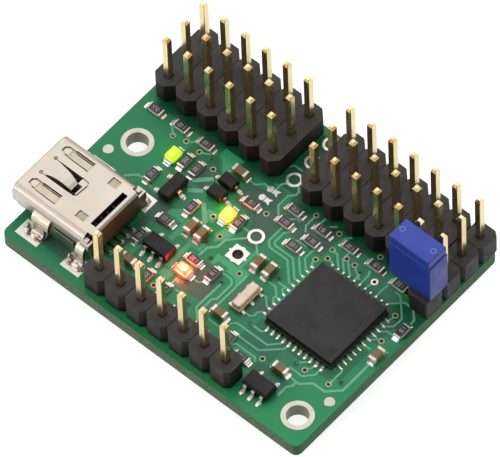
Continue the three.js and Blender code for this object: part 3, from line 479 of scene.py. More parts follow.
# ------------------------------------------------------------------ mesh helpers
class Piece:
    """Collects faces with a material each, in board-corner millimetres."""

    def __init__(self, name, mats):
        self.name, self.mats = name, mats
        self.v, self.f, self.mi = [], [], []

    def add(self, verts, faces, mat=0):
        o = len(self.v)
        self.v += [P(*p) for p in verts]
        self.f += [tuple(i + o for i in f) for f in faces]
        self.mi += [mat] * len(faces)

    def loft(self, rings, mat=0, caps=True):
        n = len(rings[0])
        vs = [p for r in rings for p in r]
        fs = []
        for k in range(len(rings) - 1):
            for i in range(n):
                j = (i + 1) % n
                fs.append((k * n + i, k * n + j, (k + 1) * n + j, (k + 1) * n + i))
        if caps:
            fs.append(tuple(reversed(range(n))))
            fs.append(tuple((len(rings) - 1) * n + i for i in range(n)))
        self.add(vs, fs, mat)

    def box(self, x0, x1, y0, y1, z0, z1, mat=0, b=0.0):
        def r(d, z):
            return [(x0 + d, y0 + d, z), (x1 - d, y0 + d, z), (x1 - d, y1 - d, z), (x0 + d, y1 - d, z)]
        if b:
            self.loft([r(0, z0), r(0, z1 - b), r(b, z1)], mat)
        else:
            self.loft([r(0, z0), r(0, z1)], mat)

    def disc(self, x, y, r, z0, z1, mat=0, n=24, b=0.0):
        def ring(rr, z):
            return [(x + rr * math.cos(2 * math.pi * i / n), y + rr * math.sin(2 * math.pi * i / n), z) for i in range(n)]
        self.loft([ring(r, z0), ring(r, z1 - b), ring(max(0.01, r - b), z1)] if b else [ring(r, z0), ring(r, z1)], mat)

    def annulus(self, x, y, ri, ro, z0, z1, mat=0, n=28, b=0.01, square=False):
        vs, fs = [], []
        prof = [(ri, z0), (ro, z0), (ro, z1 - b), (ro - b, z1), (ri + b, z1), (ri, z1 - b)]
        for i in range(n):
            a = 2 * math.pi * i / n
            for j, (r, z) in enumerate(prof):
                if square and r > (ri + ro) / 2:
                    q = r / max(abs(math.cos(a)), abs(math.sin(a)))
                    vs.append((x + q * math.cos(a), y + q * math.sin(a), z))
                else:
                    vs.append((x + r * math.cos(a), y + r * math.sin(a), z))
        m = len(prof)
        for i in range(n):
            k = (i + 1) % n
            for j in range(m):
                l = (j + 1) % m
                fs.append((i * m + j, k * m + j, k * m + l, i * m + l))
        self.add(vs, fs, mat)

    def strip(self, pts, w, z0, z1, mat=0):
        """A raised line of copper along a polyline."""
        n = len(pts)
        left, right = [], []
        for i, (x, y) in enumerate(pts):
            dirs = []
            if i > 0:
                dirs.append((x - pts[i - 1][0], y - pts[i - 1][1]))
            if i < n - 1:
                dirs.append((pts[i + 1][0] - x, pts[i + 1][1] - y))
            nx = ny = 0.0
            units = []
            for dx, dy in dirs:
                l = math.hypot(dx, dy) or 1
                units.append((-dy / l, dx / l))
            nx = sum(u[0] for u in units) / len(units)
            ny = sum(u[1] for u in units) / len(units)
            l = math.hypot(nx, ny) or 1
            c = max(0.5, l)
            nx, ny = nx / l / c, ny / l / c
            left.append((x + nx * w / 2, y + ny * w / 2))
            right.append((x - nx * w / 2, y - ny * w / 2))
        s = 0.03
        for i in range(n - 1):
            a, b, c, d = right[i], right[i + 1], left[i + 1], left[i]

            def inn(p, q):
                return (p[0] + (q[0] - p[0]) * s / w, p[1] + (q[1] - p[1]) * s / w)
            self.add([(a[0], a[1], z0), (b[0], b[1], z0), (c[0], c[1], z0), (d[0], d[1], z0),
                      (*inn(a, d), z1), (*inn(b, c), z1), (*inn(c, b), z1), (*inn(d, a), z1)],
                     [(3, 2, 1, 0), (4, 5, 6, 7), (0, 1, 5, 4), (1, 2, 6, 5), (2, 3, 7, 6), (3, 0, 4, 7)], mat)

    def poly(self, pts, z0, z1, mat=0):
        n = len(pts)
        self.add([(x, y, z0) for x, y in pts] + [(x, y, z1) for x, y in pts],
                 [tuple(reversed(range(n))), tuple(range(n, 2 * n))] + [(i, (i + 1) % n, n + (i + 1) % n, n + i) for i in range(n)], mat)

    def done(self, body="board", smooth=False, slot=None, replaces=(), bevel=0.0, seg=2):
        me = bpy.data.meshes.new(self.name)
        me.from_pydata(self.v, [], self.f)
        for m in self.mats:
            me.materials.append(m)
        me.polygons.foreach_set("material_index", self.mi)
        if smooth:
            me.polygons.foreach_set("use_smooth", [True] * len(me.polygons))
        me.update()
        o = bpy.data.objects.new(self.name, me)
        bpy.context.scene.collection.objects.link(o)
        if bevel:
            m = o.modifiers.new("soft_edges", "BEVEL")
            m.width = bevel * MM
            m.segments = seg
            m.limit_method = "ANGLE"
            m.angle_limit = math.radians(35)
        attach(o, body)
        if replaces:
            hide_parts(*replaces)
        return o


def dress(node, *mats, bevel=0.0, seg=2, angle=35, smooth=False):
    """Gives a CAD node its finish, and soft edges that stay inside its shape."""
    o = NODES[node]
    o.data.materials.clear()
    for m in mats:
        o.data.materials.append(m)
    if smooth:
        o.data.polygons.foreach_set("use_smooth", [True] * len(o.data.polygons))
    if bevel:
        w = o.modifiers.new("weld", "WELD")
        w.merge_threshold = 1e-7
        b = o.modifiers.new("soft_edges", "BEVEL")
        b.width = bevel * MM
        b.segments = seg
        b.limit_method = "ANGLE"
        b.angle_limit = math.radians(angle)
    return o


# ------------------------------------------------------------------ board
dress("circuit_board", MASK)
for n in ("mount_hole_plating_left", "mount_hole_plating_right"):
    dress(n, RING)

# Copper pours under the mask show as lighter areas, bare laminate as greyer ones.
pour = Piece("copper_pours", [MASK_COPPER])
ZP = 0.014
for pts in [
    [(14.9, 12.6), (15.45, 11.75), (16.1, 12.6), (16.5, 13.6), (15.3, 13.6)],
    [(16.6, 9.95), (17.1, 9.95), (17.1, 10.5), (18.4, 10.5), (18.4, 10.1), (19.5, 10.1), (20.3, 9.3), (20.3, 11.35), (19.3, 11.35), (19.3, 13.5), (18.95, 13.5), (18.95, 11.15), (16.6, 11.15)],
    [(11.95, 9.5), (12.5, 9.5), (12.5, 10.3), (13.7, 10.3), (13.7, 7.0), (14.2, 7.0), (14.2, 10.1), (15.2, 10.2), (15.2, 11.2), (14.9, 11.2), (14.6, 10.9), (12.3, 10.9), (12.3, 12.2), (11.95, 12.2)],
    [(9.6, 20.2), (9.6, 19.4), (10.3, 18.9), (10.9, 18.2), (11.25, 17.7), (11.5, 18.4), (11.9, 20.2)],
    [(13.8, 6.9), (13.8, 6.0), (14.95, 6.0), (14.95, 8.0), (14.3, 8.0), (14.3, 6.9)],
    [(9.6, 6.9), (9.6, 5.95), (10.7, 5.95), (10.7, 7.3)],
    [(10.1, 12.0), (10.1, 11.45), (11.9, 11.45), (11.9, 12.3), (10.9, 12.6)],
    [(12.7, 14.2), (12.9, 13.2), (14.0, 13.2), (14.0, 14.4)],
]:
    pour.poly(pts, 0.0, ZP + 0.0004 * len(pour.f) / 10)
pour.done(slot="board_laminate")

bare = Piece("bare_laminate_areas", [MASK_BARE_AND_SHADE])
for pts in [
    [(16.5, 20.2), (15.0, 19.0), (13.7, 18.9), (13.7, 16.4), (16.6, 15.9), (16.9, 15.2), (16.9, 13.9), (17.4, 13.4), (18.9, 13.6), (19.05, 17.0), (17.1, 18.6), (17.1, 20.2)],
    [(16.2, 9.8), (16.2, 6.2), (18.75, 6.2), (18.75, 9.6), (18.3, 9.7)],
    [(23.2, 10.2), (23.2, 8.9), (24.6, 8.9), (24.6, 10.2)],
    [(8.9, 12.3), (8.9, 9.9), (10.5, 9.9), (10.5, 12.3)],
    [(18.0, 20.2), (18.0, 16.9), (24.0, 16.9), (24.0, 20.2)],
    [(9.3, 17.6), (9.3, 15.4), (11.0, 15.4), (11.0, 17.6)],
    [(33.2, 16.0), (33.2, 13.0), (34.0, 13.0), (34.0, 16.0)],
    [(3.4, 3.9), (3.4, 1.5), (6.2, 1.5), (6.2, 3.9)],
]:
    bare.poly(pts, 0.0, ZP - 0.008 + 0.0003 * len(bare.f) / 10)
bare.done(slot="board_laminate")

# Tones of the mask; the darker polygons in front of the headers, between their blocks, around the chip and under the
# shorting block are painted shade and painted shadow
mid = Piece("mask_tones_and_painted_shade", [MASK_MID, MASK_PAINTED_SHADE, MASK_BARE_AND_SHADE, MASK_PAINTED_LIGHT, MASK_PAINTED_SHADOW, MASK_DULL])
for i, (t, pts) in enumerate([
    (5, [(23.9, 7.3), (23.9, 5.3), (27.9, 5.3), (27.9, 7.3)]),
    (5, [(26.9, 4.7), (26.9, 3.5), (30.6, 3.5), (30.6, 4.6), (28.4, 5.2)]),
    (4, [(32.4, 17.2), (32.4, 15.4), (34.2, 15.4), (35.0, 15.0), (35.68, 15.0), (35.68, 18.1), (32.9, 18.1)]),
    (0, [(20.4, 11.3), (20.4, 7.2), (23.6, 7.2), (23.6, 9.0), (22.7, 10.9), (21.5, 11.2)]),
    (0, [(24.9, 19.0), (24.9, 17.2), (32.4, 17.2), (32.4, 19.0)]),
    (1, [(24.2, 7.3), (32.9, 7.3), (32.9, 8.45), (24.2, 8.45)]),
    (1, [(32.9, 7.3), (34.0, 8.2), (34.0, 11.9), (32.9, 11.9)]),
    (1, [(24.4, 17.2), (24.4, 16.2), (33.0, 16.2), (33.0, 17.2)]),
    (1, [(1.2, 20.4), (1.2, 19.75), (15.6, 19.75), (15.6, 20.4)]),
    (4, [(1.7, 21.8), (1.7, 20.05), (15.4, 20.05), (15.4, 21.8)]),
    (1, [(17.7, 20.4), (17.7, 19.7), (31.5, 19.7), (31.5, 20.4)]),
    (4, [(17.7, 21.8), (17.7, 20.0), (33.1, 20.0), (33.1, 21.8)]),
    (4, [(15.45, 27.2), (15.45, 20.4), (17.6, 20.4), (17.6, 27.2)]),
    (0, [(27.9, 7.25), (27.9, 6.3), (29.4, 6.3), (29.4, 7.25)]),
    (1, [(6.9, 18.8), (6.9, 14.9), (9.2, 14.9), (9.2, 17.7), (11.2, 17.7), (9.7, 19.0)]),
    # these two take the laminate tone as painted shade behind the socket
    (2, [(8.75, 9.9), (8.75, 5.9), (9.5, 5.9), (9.5, 9.9)]),
    (2, [(7.0, 12.2), (7.0, 11.9), (8.9, 10.0), (8.9, 12.2)]),
    # strip along the near edge: painted light
    (3, [(8.4, 0.85), (8.4, 0.12), (27.0, 0.12), (27.0, 0.85)]),
]):
    mid.poly(pts, 0.0, 0.004 + 0.0003 * i, t)
mid.done(slot="board_laminate")

TR = Piece("copper_traces", [MASK_TRACE])
ZT = 0.028
TRACES = [
    (0.22, [(24.7, 15.55), (24.1, 15.55), (23.78, 15.9), (23.78, 16.3)]),
    (0.22, [(24.7, 14.9), (23.9, 14.9), (22.95, 15.85), (22.95, 16.85), (23.3, 17.3)]),
    (0.22, [(24.7, 14.25), (23.8, 14.25), (22.4, 15.65)]),
    (0.22, [(24.7, 13.6), (23.65, 13.6), (22.1, 15.15), (19.95, 15.15), (19.7, 15.42), (19.7, 16.75), (20.1, 17.1)]),
    (0.22, [(24.7, 12.95), (23.55, 12.95), (21.85, 14.68), (19.7, 14.68), (19.2, 15.2), (19.2, 17.0)]),
    (0.22, [(24.7, 12.35), (22.75, 12.35)]),
    (0.22, [(24.7, 11.65), (23.95, 11.65), (23.6, 12.0), (23.6, 12.35)]),
    (0.22, [(24.7, 11.0), (23.75, 11.0), (22.95, 11.8), (22.0, 11.8)]),
    (0.22, [(24.7, 10.35), (23.95, 10.35), (23.6, 10.7), (23.6, 11.1)]),
    (0.22, [(24.7, 9.7), (23.7, 9.7), (23.0, 10.4), (22.4, 10.4)]),
    (0.22, [(24.7, 9.05), (23.85, 9.05), (23.5, 8.7), (23.5, 8.2), (23.2, 7.92), (22.4, 7.92)]),
    (0.22, [(25.32, 8.2), (25.38, 7.6), (25.12, 7.35), (23.85, 7.35)]),
    (0.22, [(27.3, 8.2), (27.3, 7.5), (26.45, 6.6), (22.85, 6.6), (22.35, 6.1)]),
    (0.22, [(27.95, 8.2), (27.95, 7.3), (26.25, 5.65), (23.8, 5.65)]),
    (0.22, [(23.9, 4.5), (24.25, 4.88), (26.5, 4.88), (26.8, 4.55)]),
    (0.22, [(30.62, 8.2), (30.55, 7.65), (30.0, 7.15), (29.75, 6.85)]),
    (0.22, [(31.2, 8.2), (31.17, 7.35), (30.85, 6.95)]),
    (0.22, [(31.86, 8.2), (31.86, 7.0), (31.1, 6.12), (29.5, 6.12)]),
    (0.26, [(34.86, 11.0), (34.86, 7.35), (33.7, 6.2), (32.35, 6.2), (31.4, 5.32), (30.3, 5.32)]),
    (0.26, [(31.1, 5.25), (31.05, 4.7), (30.72, 4.3), (30.72, 3.1)]),
    (0.22, [(32.6, 9.05), (33.3, 9.05), (33.48, 8.85), (33.48, 7.1)]),
    (0.20, [(32.6, 12.3), (33.95, 12.3)]),
    (0.20, [(32.6, 13.05), (33.3, 13.1), (33.65, 13.5), (33.35, 13.7), (32.6, 13.65)]),
    (0.20, [(32.6, 14.3), (33.35, 14.3), (33.75, 14.72), (34.4, 14.75)]),
    (0.20, [(32.6, 14.95), (33.3, 15.0), (33.9, 15.5), (33.95, 16.6), (33.2, 17.4), (32.2, 18.4), (31.6, 18.4)]),
    (0.20, [(32.6, 15.55), (33.1, 15.6), (33.25, 16.3)]),
    (0.22, [(31.9, 15.9), (31.9, 17.0), (33.0, 18.1), (34.0, 18.1), (34.9, 17.2), (34.9, 16.6)]),
    (0.24, [(26.0, 15.9), (26.0, 17.0), (24.9, 18.1), (24.3, 18.15)]),
    (0.24, [(26.65, 15.9), (26.65, 17.0), (25.65, 18.0), (25.65, 18.9)]),
    (0.24, [(27.3, 15.9), (27.3, 17.05), (26.15, 18.15)]),
    (0.24, [(27.9, 15.9), (27.9, 17.8)]),
    (0.24, [(28.6, 15.9), (28.6, 18.2), (28.35, 18.6)]),
    (0.24, [(29.25, 15.9), (29.25, 17.1), (29.42, 17.8)]),
    (0.24, [(30.55, 15.9), (30.55, 17.9), (30.65, 18.5)]),
    (0.24, [(25.3, 15.9), (25.3, 17.0), (24.9, 17.15)]),
    (0.20, [(27.9, 17.1), (28.2, 17.35), (26.95, 18.1)]),
    (0.24, [(18.3, 9.82), (19.35, 9.82), (19.74, 9.4), (19.74, 7.35), (19.42, 7.0), (19.42, 5.6), (20.1, 4.8)]),
    (0.24, [(18.95, 8.8), (18.9, 5.5), (19.9, 4.5)]),
    (0.24, [(20.22, 11.0), (20.22, 7.0)]),
    (0.20, [(16.6, 7.6), (17.25, 7.6), (17.6, 7.9)]),
    (0.22, [(15.5, 6.75), (15.5, 5.9)]),
    (0.20, [(16.2, 5.65), (16.9, 5.7)]),
    (0.20, [(19.95, 5.75), (20.4, 5.25), (21.8, 5.25)]),
    (0.28, [(17.55, 14.15), (16.15, 12.65), (16.1, 11.65), (15.42, 10.95), (15.4, 9.8)]),
    (0.24, [(18.5, 14.2), (19.5, 13.3)]),
    (0.24, [(17.3, 14.72), (16.3, 14.72)]),
    (0.50, [(9.55, 15.55), (10.95, 16.95)]),
    (0.50, [(9.9, 14.5), (10.3, 14.75), (11.05, 15.35)]),
    (0.50, [(11.95, 14.35), (13.35, 13.0), (13.35, 12.5)]),
    (0.30, [(4.4, 11.9), (5.35, 12.82), (5.95, 12.82)]),
    (0.20, [(13.6, 18.95), (14.25, 18.95), (14.85, 19.55), (15.4, 19.55)]),
    (0.22, [(17.2, 21.5), (17.85, 20.9), (17.85, 20.5), (17.35, 19.95), (17.35, 18.6), (18.0, 17.85)]),
    (0.22, [(16.05, 19.8), (16.05, 20.55), (16.45, 21.0)]),
    (0.22, [(15.2, 22.3), (15.65, 22.85), (16.6, 22.85)]),
    (0.22, [(20.7, 19.9), (20.7, 18.6), (21.15, 18.0)]),
    (0.20, [(21.0, 16.8), (21.3, 16.85), (22.3, 16.85)]),
    (0.20, [(19.1, 18.1), (19.6, 18.6), (20.1, 18.6)]),
    (0.22, [(21.6, 20.3), (21.55, 19.6)]),
    (0.22, [(23.0, 20.35), (22.4, 19.8)]),
    (0.22, [(24.8, 20.3), (24.4, 19.9), (24.4, 19.5)]),
    (0.20, [(6.2, 12.4), (6.9, 12.6), (7.3, 12.6)]),
    (0.22, [(5.0, 18.1), (4.3, 18.75), (4.1, 18.85)]),
    (0.22, [(6.4, 18.4), (7.0, 18.9)]),
    (0.22, [(8.1, 18.3), (9.0, 18.8)]),
]
for i, (w, pts) in enumerate(TRACES):
    TR.strip(pts, w, 0.0, ZT + 0.0003 * i)
TR.done(slot="board_laminate")

# Holes between layers: a ring of thin mask, and a dark disc over the bore as painted shade.
VIAS = [(23.78, 16.37, 1), (24.55, 17.15, 1), (24.28, 18.15, 1), (25.9, 18.25, 1), (26.9, 18.2, 1), (27.8, 17.9, 0),
        (29.45, 18.0, 2), (28.1, 20.38, 1), (23.6, 19.85, 1), (20.7, 20.0, 1), (25.6, 20.1, 0), (3.2, 20.0, 0),
        (4.95, 18.1, 1), (6.3, 18.42, 1), (8.0, 18.3, 1), (9.4, 18.4, 0), (10.2, 17.7, 1), (17.1, 17.2, 1), (13.62, 13.83, 1),
        (15.5, 12.6, 1), (14.95, 11.38, 0), (16.42, 10.32, 0), (19.5, 10.72, 1), (18.88, 8.95, 0), (14.38, 4.75, 1),
        (22.6, 12.65, 0), (23.82, 7.32, 0), (29.75, 6.82, 0), (30.83, 6.78, 1), (27.12, 5.2, 1), (33.46, 7.02, 1),
        (34.08, 13.6, 1), (33.25, 16.48, 1), (18.1, 5.25, 0), (34.2, 7.9, 0)]
RINGM = surface("via_ring", lin((176, 182, 136)), 0.4, 0.2, vary=0.14, grain=4200, blotch=1300, bump=0.2)
RING_TENT = mask_material("via_tented", lin((30, 104, 66)), lin((36, 118, 76)), lin((48, 128, 86)))
via = Piece("layer_holes", [RINGM, DARK, RING_TENT, TIN])
for x, y, kind in VIAS:
    if kind == 0:
        via.annulus(x, y, 0.12, 0.30, 0.0, 0.036, 2, 20)
        via.disc(x, y, 0.13, 0.0, 0.031, 1, 16)
    else:
        ro = 0.30 if kind == 1 else 0.36
        via.annulus(x, y, 0.175, ro, 0.0, 0.04, 0 if kind == 1 else 3, 20)
        via.disc(x, y, 0.185, 0.0, 0.033, 1, 16)
via.done(slot="board_laminate")

# Tinned rings of the empty holes, fiducials, solder bridges.
# dark grey-brown for the plated walls of the empty holes: painted shade inside the holes
BARREL = surface("hole_barrel_tin_painted_shade", lin((108, 98, 78)), 0.6, 0.5, vary=0.2, grain=4200, blotch=1500, bump=0.4, dist=0.00004, wear=lin((60, 56, 44)))
pads = Piece("tinned_pads", [TIN, BARREL, RING])
for r in range(3):
    pads.annulus(COL0_X + 6 * PITCH, ROW0_Y + r * PITCH, 0.53, 0.80, 0.0, 0.045, 0, 32)
pads.annulus(18.02, 14.74, 0.53, 0.82, 0.0, 0.045, 0, 32)
pads.annulus(18.02, 12.2, 0.53, 0.84, 0.0, 0.045, 0, 32, square=True)
for x, y in ((1.4, 13.17), (34.75, 5.68)):
    pads.disc(x, y, 0.52, 0.0, 0.04, 2, 32, 0.03)
for yy in (19.48, 18.32):
    pads.poly([(15.3, yy + 0.05), (15.5, yy + 0.36), (15.85, yy + 0.30), (15.93, yy), (15.85, yy - 0.30), (15.5, yy - 0.36), (15.3, yy - 0.1)], 0.0, 0.05)
    pads.poly([(15.98, yy + 0.30), (16.2, yy + 0.22), (16.65, yy + 0.36), (16.5, yy), (16.65, yy - 0.36), (16.2, yy - 0.22), (15.98, yy - 0.30)], 0.0, 0.07)
# plated walls of the empty holes, dark as painted shade
for x, y in [(COL0_X + 6 * PITCH, ROW0_Y + r * PITCH) for r in range(3)] + [(18.02, 14.74), (18.02, 12.2)]:
    pads.annulus(x, y, 0.490, 0.535, -BT - 0.03, 0.045, 1, 32, b=0.004)
for x, y in ((17.18, 12.2), (18.86, 12.2), (18.02, 11.36), (18.02, 13.04)):
    pads.box(x - 0.16, x + 0.16, y - 0.10, y + 0.10, 0.0, 0.032, 0)
pads.done(slot="solder_plating")


# ------------------------------------------------------------------ chip parts
def fillet(pc, x0, x1, y0, y1, axis, sign, h, mat):
    """A solder fillet: tall at the terminal, thin at the pad's outer edge, slightly hollow."""
    z = 0.03
    if axis == "x":
        a, b = (x0, x1) if sign > 0 else (x1, x0)
        st = [(0.0, h), (0.25, h * 0.62), (0.55, h * 0.3), (1.0, 0.045)]
        rings = []
        for t, hh in st:
            x = a + (b - a) * t
            d = 0.05 * t
            r = [(x, y0 + d, 0.0), (x, y1 - d, 0.0), (x, y1 - d - 0.06, max(hh, z)), (x, y0 + d + 0.06, max(hh, z))]
            rings.append(r if sign > 0 else list(reversed(r)))
        pc.loft(rings, mat)
    else:
        a, b = (y0, y1) if sign > 0 else (y1, y0)
        st = [(0.0, h), (0.25, h * 0.62), (0.55, h * 0.3), (1.0, 0.045)]
        rings = []
        for t, hh in st:
            y = a + (b - a) * t
            d = 0.05 * t
            r = [(x1 - d, y, 0.0), (x0 + d, y, 0.0), (x0 + d + 0.06, y, max(hh, z)), (x1 - d - 0.06, y, max(hh, z))]
            rings.append(r if sign > 0 else list(reversed(r)))
        pc.loft(rings, mat)


SOLDER = Piece("solder_fillets", [SILVER])


def chip_solder(x, y, d, L=0.8, w=0.46, reach=0.40, h=0.3):
    for s in (-1, 1):
        if d == "x":
            a, b = x + s * (L - 0.02), x + s * (L + reach)
            fillet(SOLDER, min(a, b), max(a, b), y - w, y + w, "x", s, h, 0)
        else:
            a, b = y + s * (L - 0.02), y + s * (L + reach)
            fillet(SOLDER, x - w, x + w, min(a, b), max(a, b), "y", s, h, 0)


RES = [
    ("r01", 1.94, 19.12, "x"), ("r02", 5.02, 19.23, "x"), ("r03", 8.05, 19.23, "x"), ("r04", 7.78, 16.63, "y"), ("r05", 9.14, 16.6, "y"),
    ("r06", 6.38, 13.56, "y"), ("r09", 15.4, 17.05, "x"), ("r10", 15.95, 14.72, "y"), ("r11", 19.02, 19.07, "x"), ("r12", 22.37, 19.0, "x"),
    ("r13", 25.46, 19.26, "x"), ("r14", 28.54, 19.26, "x"), ("r15", 31.55, 19.08, "x"), ("r16", 19.18, 17.48, "x"), ("r17", 22.37, 17.48, "x"),
    ("r18", 21.4, 16.03, "x"), ("r19", 11.54, 13.2, "y"), ("r20", 10.64, 10.68, "x"), ("r21", 9.98, 7.88, "y"), ("r22", 15.48, 9.08, "x"),
    ("r23", 17.8, 9.0, "y"), ("r24", 23.5, 4.68, "y"), ("r25", 25.66, 3.98, "x"), ("r26", 34.9, 15.47, "y"), ("r27", 15.5, 4.78, "y"),
    ("r28", 18.15, 3.86, "x"), ("r29", 20.8, 3.86, "x"), ("r30", 13.3, 4.9, "y"),
]
SEG = {"2": "abged", "1": "bc", "3": "abgcd", "4": "fgbc", "6": "afgecd", "7": "abc", "5": "afgcd"}


def glyph(pc, ch, cx, cy, s, d, flip, mat):
    """One small stroke mark made of bars."""
    w, h, t = 0.16 * s, 0.3 * s, 0.045 * s
    bars = {"a": (-w / 2, w / 2, h / 2, h / 2), "g": (-w / 2, w / 2, 0, 0), "d": (-w / 2, w / 2, -h / 2, -h / 2),
            "b": (w / 2, w / 2, 0, h / 2), "c": (w / 2, w / 2, -h / 2, 0), "f": (-w / 2, -w / 2, 0, h / 2), "e": (-w / 2, -w / 2, -h / 2, 0)}
    for k in SEG[ch]:
        a0, a1, b0, b1 = bars[k]
        a0, a1, b0, b1 = a0 - t / 2, a1 + t / 2, b0 - t / 2, b1 + t / 2
        if flip:
            a0, a1, b0, b1 = -a1, -a0, -b1, -b0
        if d == "x":
            pc.box(cx + a0, cx + a1, cy + b0, cy + b1, 0.44, 0.4595, mat)
        else:
            pc.box(cx - b1, cx - b0, cy + a0, cy + a1, 0.44, 0.4595, mat)


for i, (nm, x, y, d) in enumerate(RES):
    pc = Piece("resistor_" + nm, [CERAMIC, ENDCAP, RESIST, PRINT])
    L, w, h = 0.8, 0.4, 0.43

    def bb(a0, a1, b0, b1, z0, z1, mat, b=0.0):
        if d == "x":
            pc.box(x + a0, x + a1, y + b0, y + b1, z0, z1, mat, b)
        else:
            pc.box(x - b1, x - b0, y + a0, y + a1, z0, z1, mat, b)
    bb(-L + 0.06, L - 0.06, -w + 0.005, w - 0.005, 0.03, h - 0.02, 0)
    for s in (-1, 1):
        e = sorted((s * L, s * (L - 0.20)))
        bb(e[0], e[1], -w, w, 0.02, h, 1, 0.03)
    bb(-L + 0.18, L - 0.18, -w + 0.02, w - 0.02, h - 0.03, h + 0.018, 2, 0.015)
    marks = random.choice(["221", "221", "472", "331", "151", "562"])
    flip = nm in ("r11", "r12", "r16", "r17")
    for q, ch in enumerate(marks):
        off = (q - 1) * 0.25 * (-1 if flip else 1)
        if d == "x":
            glyph(pc, ch, x + off, y, 1.18, d, flip, 3)
        else:
            glyph(pc, ch, x, y + off, 1.18, d, flip, 3)
    pc.done(slot="chip_plastic")
    chip_solder(x, y, d, L=0.8, w=0.40, reach=0.34, h=0.24)

CAPS = [(12.5, 18.93, "x"), (12.96, 11.57, "y"), (14.22, 11.57, "y"), (10.98, 5.17, "x"), (20.24, 12.57, "y"),
        (21.58, 12.57, "y"), (21.12, 6.2, "x"), (29.27, 5.25, "x"), (34.92, 12.0, "y")]
for i, (x, y, d) in enumerate(CAPS):
    pc = Piece(f"chip_capacitor_{i + 1}", [TAN, ENDCAP])

    def bb(a0, a1, b0, b1, z0, z1, mat, b=0.0):
        if d == "x":
            pc.box(x + a0, x + a1, y + b0, y + b1, z0, z1, mat, b)
        else:
            pc.box(x - b1, x - b0, y + a0, y + a1, z0, z1, mat, b)
    bb(-0.55, 0.55, -0.385, 0.385, 0.04, 0.80, 0, 0.03)
    for s in (-1, 1):
        e = sorted((s * 0.8, s * 0.46))
        bb(e[0], e[1], -0.4, 0.4, 0.02, 0.82, 1, 0.05)
    pc.done(slot="ceramic_brown", replaces=[f"capacitor_{i + 1}"], bevel=0.025)
    chip_solder(x, y, d, L=0.8, w=0.42, reach=0.27, h=0.32)


# ------------------------------------------------------------------ leaded chips
def gull(pc, x, y, dx, dy, w, z_top, reach, foot, mat=0, t=0.13):
    """A formed lead leaving a body at (x, y) in direction (dx, dy)."""
    prof = [(0.0 - 0.06, z_top), (reach * 0.32, z_top), (reach * 0.48, z_top - 0.1), (reach * 0.60, 0.20), (reach * 0.72, 0.10), (reach + foot, 0.085)]
    n = len(prof)
    top, bot = [], []
    for i, (s, z) in enumerate(prof):
        if i == 0:
            d = (prof[1][0] - s, prof[1][1] - z)
        elif i == n - 1:
            d = (s - prof[i - 1][0], z - prof[i - 1][1])
        else:
            d = (prof[i + 1][0] - prof[i - 1][0], prof[i + 1][1] - prof[i - 1][1])
        l = math.hypot(*d)
        nx, nz = -d[1] / l * t / 2, d[0] / l * t / 2
        top.append((s + nx, z + nz))
        bot.append((s - nx, max(0.015, z - nz)))
    rings = []
    for i in range(n):
        q = []
        for (s, z), side in ((bot[i], -1), (bot[i], 1), (top[i], 1), (top[i], -1)):
            q.append((x + dx * s - dy * side * w / 2, y + dy * s + dx * side * w / 2, z))
        rings.append(list(reversed(q)))
    pc.loft(rings, mat)
    fx, fy = x + dx * (reach + foot), y + dy * (reach + foot)
    k = 0.20
    if dx:
        a, b = sorted((fx - dx * 0.02, fx + dx * k))
        fillet(SOLDER, a, b, y - w * 0.62, y + w * 0.62, "x", dx, 0.14, 0)
        a, b = sorted((fx, fx - dx * 0.55))
        SOLDER.box(a, b, y - w * 0.62, y + w * 0.62, 0.0, 0.05, 0)
    else:
        a, b = sorted((fy - dy * 0.02, fy + dy * k))
        fillet(SOLDER, x - w * 0.62, x + w * 0.62, a, b, "y", dy, 0.14, 0)
        a, b = sorted((fy, fy - dy * 0.55))
        SOLDER.box(x - w * 0.62, x + w * 0.62, a, b, 0.0, 0.05, 0)


LEADS = Piece("chip_leads", [LEADM])
for xc, yc, far in ((12.28, 7.95, (-0.95, 0.95)), (29.03, 2.65, (-0.95, 0.95))):
    for o in (-0.97, 0.0, 0.97):
        gull(LEADS, xc + o, yc - 0.81, 0, -1, 0.34, 0.58, 0.30, 0.34)
    for o in far:
        gull(LEADS, xc + o, yc + 0.81, 0, 1, 0.34, 0.58, 0.30, 0.24)
for o in (-0.95, 0.95):
    gull(LEADS, 8.93 - 0.67, 13.62 + o, -1, 0, 0.42, 0.52, 0.30, 0.26)
gull(LEADS, 8.93 + 0.67, 13.62, 1, 0, 0.42, 0.52, 0.30, 0.30)
for yc in (17.38, 15.78):
    gull(LEADS, 12.4 - 0.86, yc, -1, 0, 0.36, 0.45, 0.22, 0.22)
    gull(LEADS, 12.4 + 0.86, yc, 1, 0, 0.34, 0.45, 0.30, 0.30)
LEADS.done(slot="solder_plating")
for n in ("regulator_transistor", "regulator_chip", "supervisor_chip", "diode_upper", "diode_lower"):
    dress(n, CHIP_DARK, bevel=0.03)

# Microcontroller and its contacts.
dress("microcontroller", CHIP, bevel=0.02)
MC = (28.64, 12.3)
